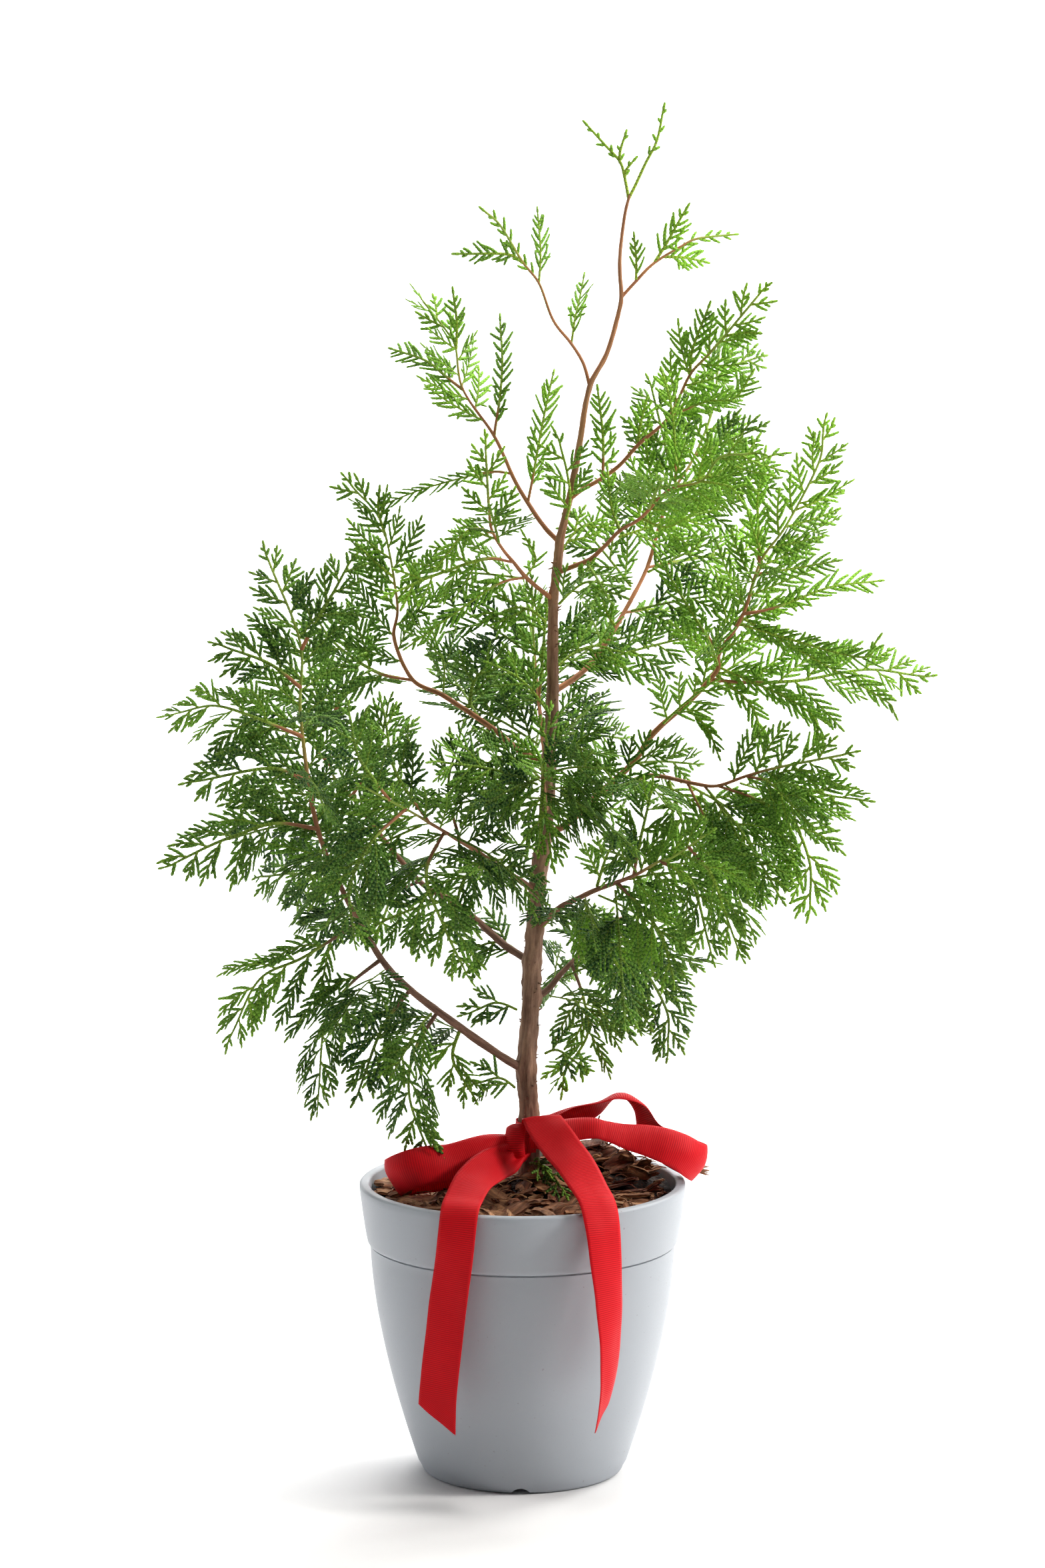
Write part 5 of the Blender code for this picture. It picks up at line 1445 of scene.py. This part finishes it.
LOOP_LEFT = [
    ((-3, -16, 219), (0.10, -0.45, -0.88)), ((-14, -20, 217), (0.10, -0.48, -0.87)),
    ((-28, -27, 213), (0.06, -0.52, -0.85)), ((-45, -34, 209.5), (0.03, -0.50, -0.86)),
    ((-58, -38, 209), (0.06, -0.46, -0.88)), ((-68, -39, 207), (0.16, -0.36, -0.92)),
    ((-76, -36, 203.5), (0.30, -0.22, -0.92)), ((-81, -29, 199.5), (0.42, -0.06, -0.90)),
    ((-82, -20, 196.5), (0.44, 0.04, -0.89)), ((-77, -13, 195.5), (0.32, 0.06, -0.94)),
    ((-66, -10, 196), (0.18, 0.06, -0.98)),
    ((-52, -10, 198), (0.1, 0.05, -0.99)), ((-34, -11, 203), (0.05, 0.05, -0.99)),
    ((-14, -13, 209), (0.0, 0.05, -0.99)), ((-3, -13, 212), (0.0, 0.05, -0.99)),
]
LOOP_RIGHT = [
    ((5, -13.5, 221), (0.0, -0.60, -0.80)), ((14, -15, 222), (0.0, -0.75, -0.66)),
    ((27, -16, 226), (0.0, -0.90, -0.44)),
    ((44, -16, 228), (0.1, -0.95, -0.28)), ((54, -16, 226), (0.12, -0.95, -0.30)),
    ((66, -17, 223), (0.08, -0.88, -0.46)), ((80, -19, 220.5), (0.02, -0.76, -0.65)),
    ((92, -20, 217), (-0.04, -0.60, -0.80)), ((102, -18, 212), (-0.14, -0.44, -0.88)),
    ((109, -13, 206.5), (-0.28, -0.26, -0.92)), ((113.5, -5, 202.5), (-0.38, -0.08, -0.92)),
    ((113, 5, 201.3), (-0.42, 0.10, -0.90)), ((106, 12.5, 203), (-0.46, 0.22, -0.86)),
    ((95, 16, 207.5), (-0.46, 0.36, -0.80)),
    ((83, 19, 217), (-0.50, 0.65, -0.55)), ((75, 22, 232), (-0.25, 0.90, -0.30)),
    ((63, 22, 239), (0.0, 1.0, -0.05)), ((48, 19, 233), (0.1, 0.85, -0.50)),
    ((32, 18, 228), (0.1, 0.70, -0.70)), ((18, 15.5, 224), (0.0, 0.6, -0.80)),
]


def ribbon_material():
    """Grosgrain: painted highlight on the crests across the ribbon, painted shade in the grooves between,
    a plain woven edge.
    """
    found = bpy.data.materials.get("grosgrain")
    if found:
        return found
    settings = bpy.context.scene.tree_ribbon
    made, net, shader = shaded("grosgrain", 0.5, Specular_IOR_Level=0.13)
    grain = net.values("grain")["Color"]
    across, along, crest = net.node("ShaderNodeSeparateColor", {0: grain}).outputs
    threads = net.node("ShaderNodeCombineXYZ", {"X": net.math("MULTIPLY", across, 90.0),
                                                "Y": net.math("MULTIPLY", along, 6.0)})
    yarn = net.noise(threads, 1.0, 3.0, 0.6)
    mottle = use(net, mottle_group(), Vector=net.places(), Cloud_Scale=22.0, Speck_Scale=2600.0,
                 Depth=0.18)
    red = tuple(settings.color)
    # Painted shade and highlight: the red falls to half in the grooves between the ribs and is full on
    # their crests
    color = net.mix(crest, tuple(0.50 * c for c in red), red)
    color = net.mix(net.math("MULTIPLY", net.ramp(yarn, 0.3, 0.7), 0.25), color,
                    (red[0] * 1.12, red[1] * 2.2, red[2] * 2.0))
    net.put(shader.inputs["Base Color"], multiply(net, color, mottle["Tone"]))
    net.put(shader.inputs["Roughness"], net.ramp(crest, 0.0, 1.0, 0.75, 0.45))
    net.put(shader.inputs["Normal"], bump(net, yarn, 0.35, 0.00012))
    return made


def turned_widths(path, run, stations):
    """The way the ribbon's width points at each place on its path, turning softly between stations."""
    keys = unit(np.array([way for _, way in stations], float))
    marks = np.array([run[np.argmin(np.linalg.norm(path - np.array(p) * MM, axis=1))]
                      for p, _ in stations])
    marks = np.maximum.accumulate(marks + np.arange(len(marks)) * 1e-9)
    kernel = np.exp(-(np.arange(-TURN_STEPS, TURN_STEPS + 1) / 26.0) ** 2)
    kernel /= kernel.sum()
    wide = np.stack([np.convolve(np.pad(np.interp(run, marks, keys[:, i]), TURN_STEPS, mode="edge"),
                                 kernel, "valid") for i in range(3)], 1)
    ways = ways_of(path)
    wide = unit(wide - ways * np.sum(wide * ways, axis=1, keepdims=True))
    return wide, np.cross(ways, wide)


def strip_faces(columns, count):
    """Faces of a closed strip: its top, its underside, both edges and both ends."""
    half = columns * count
    j, i = np.meshgrid(np.arange(columns - 1), np.arange(count - 1), indexing="ij")
    a = (j * count + i).ravel()
    top = np.stack([a, a + 1, a + count + 1, a + count], 1)
    under = np.stack([a + half, a + half + count, a + half + count + 1, a + half + 1], 1)
    left = np.arange(count - 1)
    right = (columns - 1) * count + left
    near = np.arange(columns - 1) * count
    far = near + count - 1
    rims = [np.stack([left, left + half, left + half + 1, left + 1], 1),
            np.stack([right, right + 1, right + half + 1, right + half], 1),
            np.stack([near, near + count, near + count + half, near + half], 1),
            np.stack([far, far + half, far + count + half, far + count], 1)]
    return np.concatenate([top, under, *rims])


def strip_mesh(name, stations, slant=0.0, columns=13, cup=0.0, crease=0.0, seed=0.0,
               width=RIBBON_WIDTH, pinch=(1.0, 1.0)):
    """A ribbed ribbon along the stations, closed all round. slant cuts its last end by that much, cup
    bows it across its width, and pinch gathers each end into folds where the knot holds it.
    Returns the mesh and the length of its middle line."""
    path, run = smooth_path(in_metres(p for p, _ in stations), RIB_PITCH / 4)
    wide, flat = turned_widths(path, run, stations)
    long = run[-1]
    hold = ((1 - pinch[0]) * np.exp(-(run / GATHER_LENGTH) ** 2)
            + (1 - pinch[1]) * np.exp(-((long - run) / GATHER_LENGTH) ** 2))
    fade = np.clip((long - run) / SLANT_LENGTH, 0, 1)
    points, colors = [], []
    for face in (1, -1):
        for j in range(columns):
            v = j / (columns - 1) * 2 - 1
            last = slant * (v + 1) / 2 if slant >= 0 else -slant * (1 - v) / 2
            where = run - last * (1 - fade)
            centre, side, up = (np.stack([np.interp(where, run, line[:, i]) for i in range(3)], 1)
                                for line in (path, wide, flat))
            woven = 1 - np.clip((abs(v) - 0.90) / 0.06, 0, 1)
            crest = 0.5 + 0.5 * np.cos(2 * math.pi * where / RIB_PITCH)
            wave = crease * np.array([noise.noise(Vector((w * 34 + seed, v * 0.9, seed)))
                                      for w in where[::8]])
            lift = (face * (RIBBON_THICKNESS / 2 + RIB_HEIGHT * (crest - 0.5) * woven)
                    + cup * (1 - v * v) + np.interp(where, where[::8], wave)
                    + hold * GATHER_DEPTH * math.cos(v * 7.0 + seed))
            picot = (1 + 0.006 * crest * (1 - woven)) * (1 - hold)
            points.append(centre + side * (v * width / 2 * picot)[:, None] + up * lift[:, None])
            # The third value is the rib height, which the material turns into painted shade in the grooves
            colors.append(np.stack([np.full_like(run, v), where / RIB_PITCH,
                                    crest * woven + 0.55 * (1 - woven), np.ones_like(run)], 1))
    faces = strip_faces(columns, len(run))
    return fill_mesh(name, np.concatenate(points), faces, [], grain=np.concatenate(colors)), long


def wrap_stations():
    """The band round the trunk: a little more than one turn, sinking as it goes."""
    count, radius, height, sink = 26, 8.2, 222, 3.0
    rows = []
    for i in range(count):
        share = i / (count - 1)
        a = math.radians(-70 + 385 * share)
        x, y = polar(radius * (1 + 0.06 * math.sin(3.1 * a + 1.0)), a)
        rows.append(((4 + x, y, height - sink * share), (0.12 * math.cos(a), 0.12 * math.sin(a), 1.0)))
    return rows


# Each strip: name, CAD node, stations, how it is shaped, how it is held, what it rests on
STRIPS = [
    ("wrap_band", "ribbon_wrap", wrap_stations(), dict(width=WRAP_WIDTH, crease=0.0020, seed=2.0),
     "hung", "trunk"),
    ("knot_band", "ribbon_knot", KNOT_BAND,
     dict(width=KNOT_WIDTH, crease=0.0028, cup=0.0016, seed=9.0), "folded", "trunk"),
    ("loop_left", "ribbon_loop_left", LOOP_LEFT,
     dict(crease=0.0016, seed=4.0, cup=0.0034, pinch=(0.5, 0.5)), "hung", "trunk"),
    ("loop_right", "ribbon_loop_right", LOOP_RIGHT,
     dict(crease=0.0012, seed=6.0, cup=-0.0036, pinch=(0.55, 0.5)), "hung", "trunk"),
    ("tail_left", "ribbon_tail_left", TAIL_LEFT,
     dict(slant=-0.017, crease=0.0012, seed=1.0, cup=0.0004, pinch=(0.45, 1.0)), "draped", "pot"),
    ("tail_right", "ribbon_tail_right", TAIL_RIGHT,
     dict(slant=0.016, crease=0.0010, seed=3.0, cup=0.0010, pinch=(0.8, 1.0)), "draped", "pot"),
]


class TREE_OT_ribbon(bpy.types.Operator):
    """Ties the ribbed ribbon: a wrap round the trunk, a knot, two loops and two long tails"""
    bl_idname = "tree.ribbon"
    bl_label = "Ribbon bow"

    def execute(self, context):
        red = ribbon_material()
        for name, node, stations, shape, held, support in STRIPS:
            mesh, long = strip_mesh(name, stations, **shape)
            piece = place(mesh, "tree", red, "ribbon", node)
        return {"FINISHED"}


# ---------------------------------------------------------------- stage

CAMERA_PLACE = (0.0, -3.6, 1.0079)
CAMERA_TILT = 81.16
CAMERA_LENS = 131.5
# The floor, in metres: half its width, its front edge, where it starts to curve up, the curve's
# radius and the top of the wall behind
FLOOR_HALF, FLOOR_FRONT, CURVE_START, CURVE_RADIUS, WALL_TOP = 7.0, -6.0, 1.6, 1.2, 6.0
AMBIENT, BACKDROP_SEEN = 0.07, 0.90
# Each lamp: name, place, size in metres, watts, colour, what it points at
LAMPS = [
    ("key", (2.0, -0.4, 1.4), 0.5, 42, (1.0, 0.985, 0.96), (0, 0, 0.45)),
    ("overhead", (0.2, -0.5, 2.3), 0.8, 14, (1.0, 0.99, 0.97), (0, 0, 0.45)),
    ("left_wrap", (-2.1, 0.3, 1.1), 0.9, 10, (0.96, 0.98, 1.0), (0, 0, 0.45)),
    ("right_back", (1.5, 1.1, 1.6), 0.8, 32, (1.0, 0.99, 0.96), (0, 0, 0.45)),
    ("backdrop", (0.0, 1.3, 3.2), 2.0, 180, (1.0, 1.0, 1.0), (0, 2.6, 1.2)),
]


def set_camera(scene):
    camera = bpy.data.objects.new("camera", bpy.data.cameras.new("camera"))
    scene.collection.objects.link(camera)
    camera.location = CAMERA_PLACE
    camera.rotation_euler = (math.radians(CAMERA_TILT), 0, 0)
    camera.data.lens = CAMERA_LENS
    camera.data.sensor_width = 36
    camera.data.clip_end = 50
    scene.camera = camera


def pale_paper():
    """White paper that stays light far away, and can be seen through from behind its wall."""
    made, net, shader = shaded("pale_paper", 0.85)
    place_ = net.places()
    mottle = use(net, mottle_group(), Vector=place_, Cloud_Scale=1.5, Speck_Scale=300.0, Depth=0.02)
    net.put(shader.inputs["Base Color"],
            multiply(net, plain_color(net, (0.86, 0.855, 0.85)), mottle["Tone"]))
    behind = net.node("ShaderNodeNewGeometry").outputs["Backfacing"]
    net.put(shader.inputs["Alpha"], net.math("SUBTRACT", 1.0, behind))
    away = net.node("ShaderNodeVectorMath", {0: place_}, operation="LENGTH").outputs["Value"]
    in_sight = net.node("ShaderNodeLightPath").outputs["Is Camera Ray"]
    net.put(shader.inputs["Emission Color"], (0.95, 0.95, 0.95, 1.0))
    net.put(shader.inputs["Emission Strength"],
            net.math("MULTIPLY", net.ramp(away, 1.2, 3.6, 0.0, 0.62), in_sight))
    return made


def lay_floor(scene):
    """A floor that curves up into a wall behind."""
    curve = [(CURVE_START + CURVE_RADIUS * math.sin(a), CURVE_RADIUS * (1 - math.cos(a)))
             for a in np.linspace(0, math.pi / 2, 14)]
    outline = [(FLOOR_FRONT, 0.0), *curve, (CURVE_START + CURVE_RADIUS, WALL_TOP)]
    points = [(x, y, z) for y, z in outline for x in (-FLOOR_HALF, FLOOR_HALF)]
    quads = [(2 * i, 2 * i + 1, 2 * i + 3, 2 * i + 2) for i in range(len(outline) - 1)]
    sweep = bpy.data.objects.new("floor", fill_mesh("floor", np.array(points), quads, []))
    scene.collection.objects.link(sweep)
    sweep.data.materials.append(pale_paper())


def set_world(scene):
    """Weak light from all round, seen by the camera as a pale backdrop."""
    world = bpy.data.worlds.new("studio")
    world.use_nodes = True
    net = Shader(world.node_tree)
    backdrop = world.node_tree.nodes["Background"]
    net.put(backdrop.inputs["Color"], (1.0, 1.0, 1.0, 1.0))
    in_sight = net.node("ShaderNodeLightPath").outputs["Is Camera Ray"]
    net.put(backdrop.inputs["Strength"], net.ramp(in_sight, 0.0, 1.0, AMBIENT, BACKDROP_SEEN))
    scene.world = world


def hang_lamps(scene):
    for name, where, size, power, color, target in LAMPS:
        lamp = bpy.data.objects.new(name, bpy.data.lights.new(name, "AREA"))
        scene.collection.objects.link(lamp)
        lamp.data.shape = "DISK"
        lamp.data.size = size
        lamp.data.energy = power
        lamp.data.color = color
        lamp.location = where
        lamp.rotation_euler = (Vector(target) - Vector(where)).to_track_quat("-Z", "Y").to_euler()


class TREE_OT_stage(bpy.types.Operator):
    """Sets the camera, a pale floor that curves up behind, and soft studio lights"""
    bl_idname = "tree.stage"
    bl_label = "Stage"

    def execute(self, context):
        set_camera(context.scene)
        lay_floor(context.scene)
        set_world(context.scene)
        hang_lamps(context.scene)
        context.scene.view_settings.view_transform = "Standard"
        return {"FINISHED"}


class TREE_PT_panel(bpy.types.Panel):
    """The tree's sizes and colours, with a button for each part"""
    bl_label = "Tabletop tree"
    bl_space_type = "VIEW_3D"
    bl_region_type = "UI"
    bl_category = "Tree"

    def draw(self, context):
        for group in (getattr(context.scene, key) for key in GROUPS):
            for key in group.__annotations__:
                self.layout.prop(group, key)
        for step in STEPS:
            self.layout.operator(step.bl_idname)


STEPS = (TREE_OT_stage, TREE_OT_pot, TREE_OT_mulch, TREE_OT_trunk, TREE_OT_branches, TREE_OT_ribbon)
GROUPS = {"tree_foliage": TreeFoliage, "tree_wood": TreeWood, "tree_pot": TreePot,
          "tree_ribbon": TreeRibbon}


def register():
    for made in (*GROUPS.values(), *STEPS, TREE_PT_panel):
        bpy.utils.register_class(made)
    for key, group in GROUPS.items():
        setattr(bpy.types.Scene, key, bpy.props.PointerProperty(type=group))


def unregister():
    for key in GROUPS:
        delattr(bpy.types.Scene, key)
    for made in reversed((*GROUPS.values(), *STEPS, TREE_PT_panel)):
        bpy.utils.unregister_class(made)


def main():
    register()
    for step in STEPS:
        area, verb = step.bl_idname.split(".")
        getattr(getattr(bpy.ops, area), verb)()


if __name__ == "__main__":
    main()
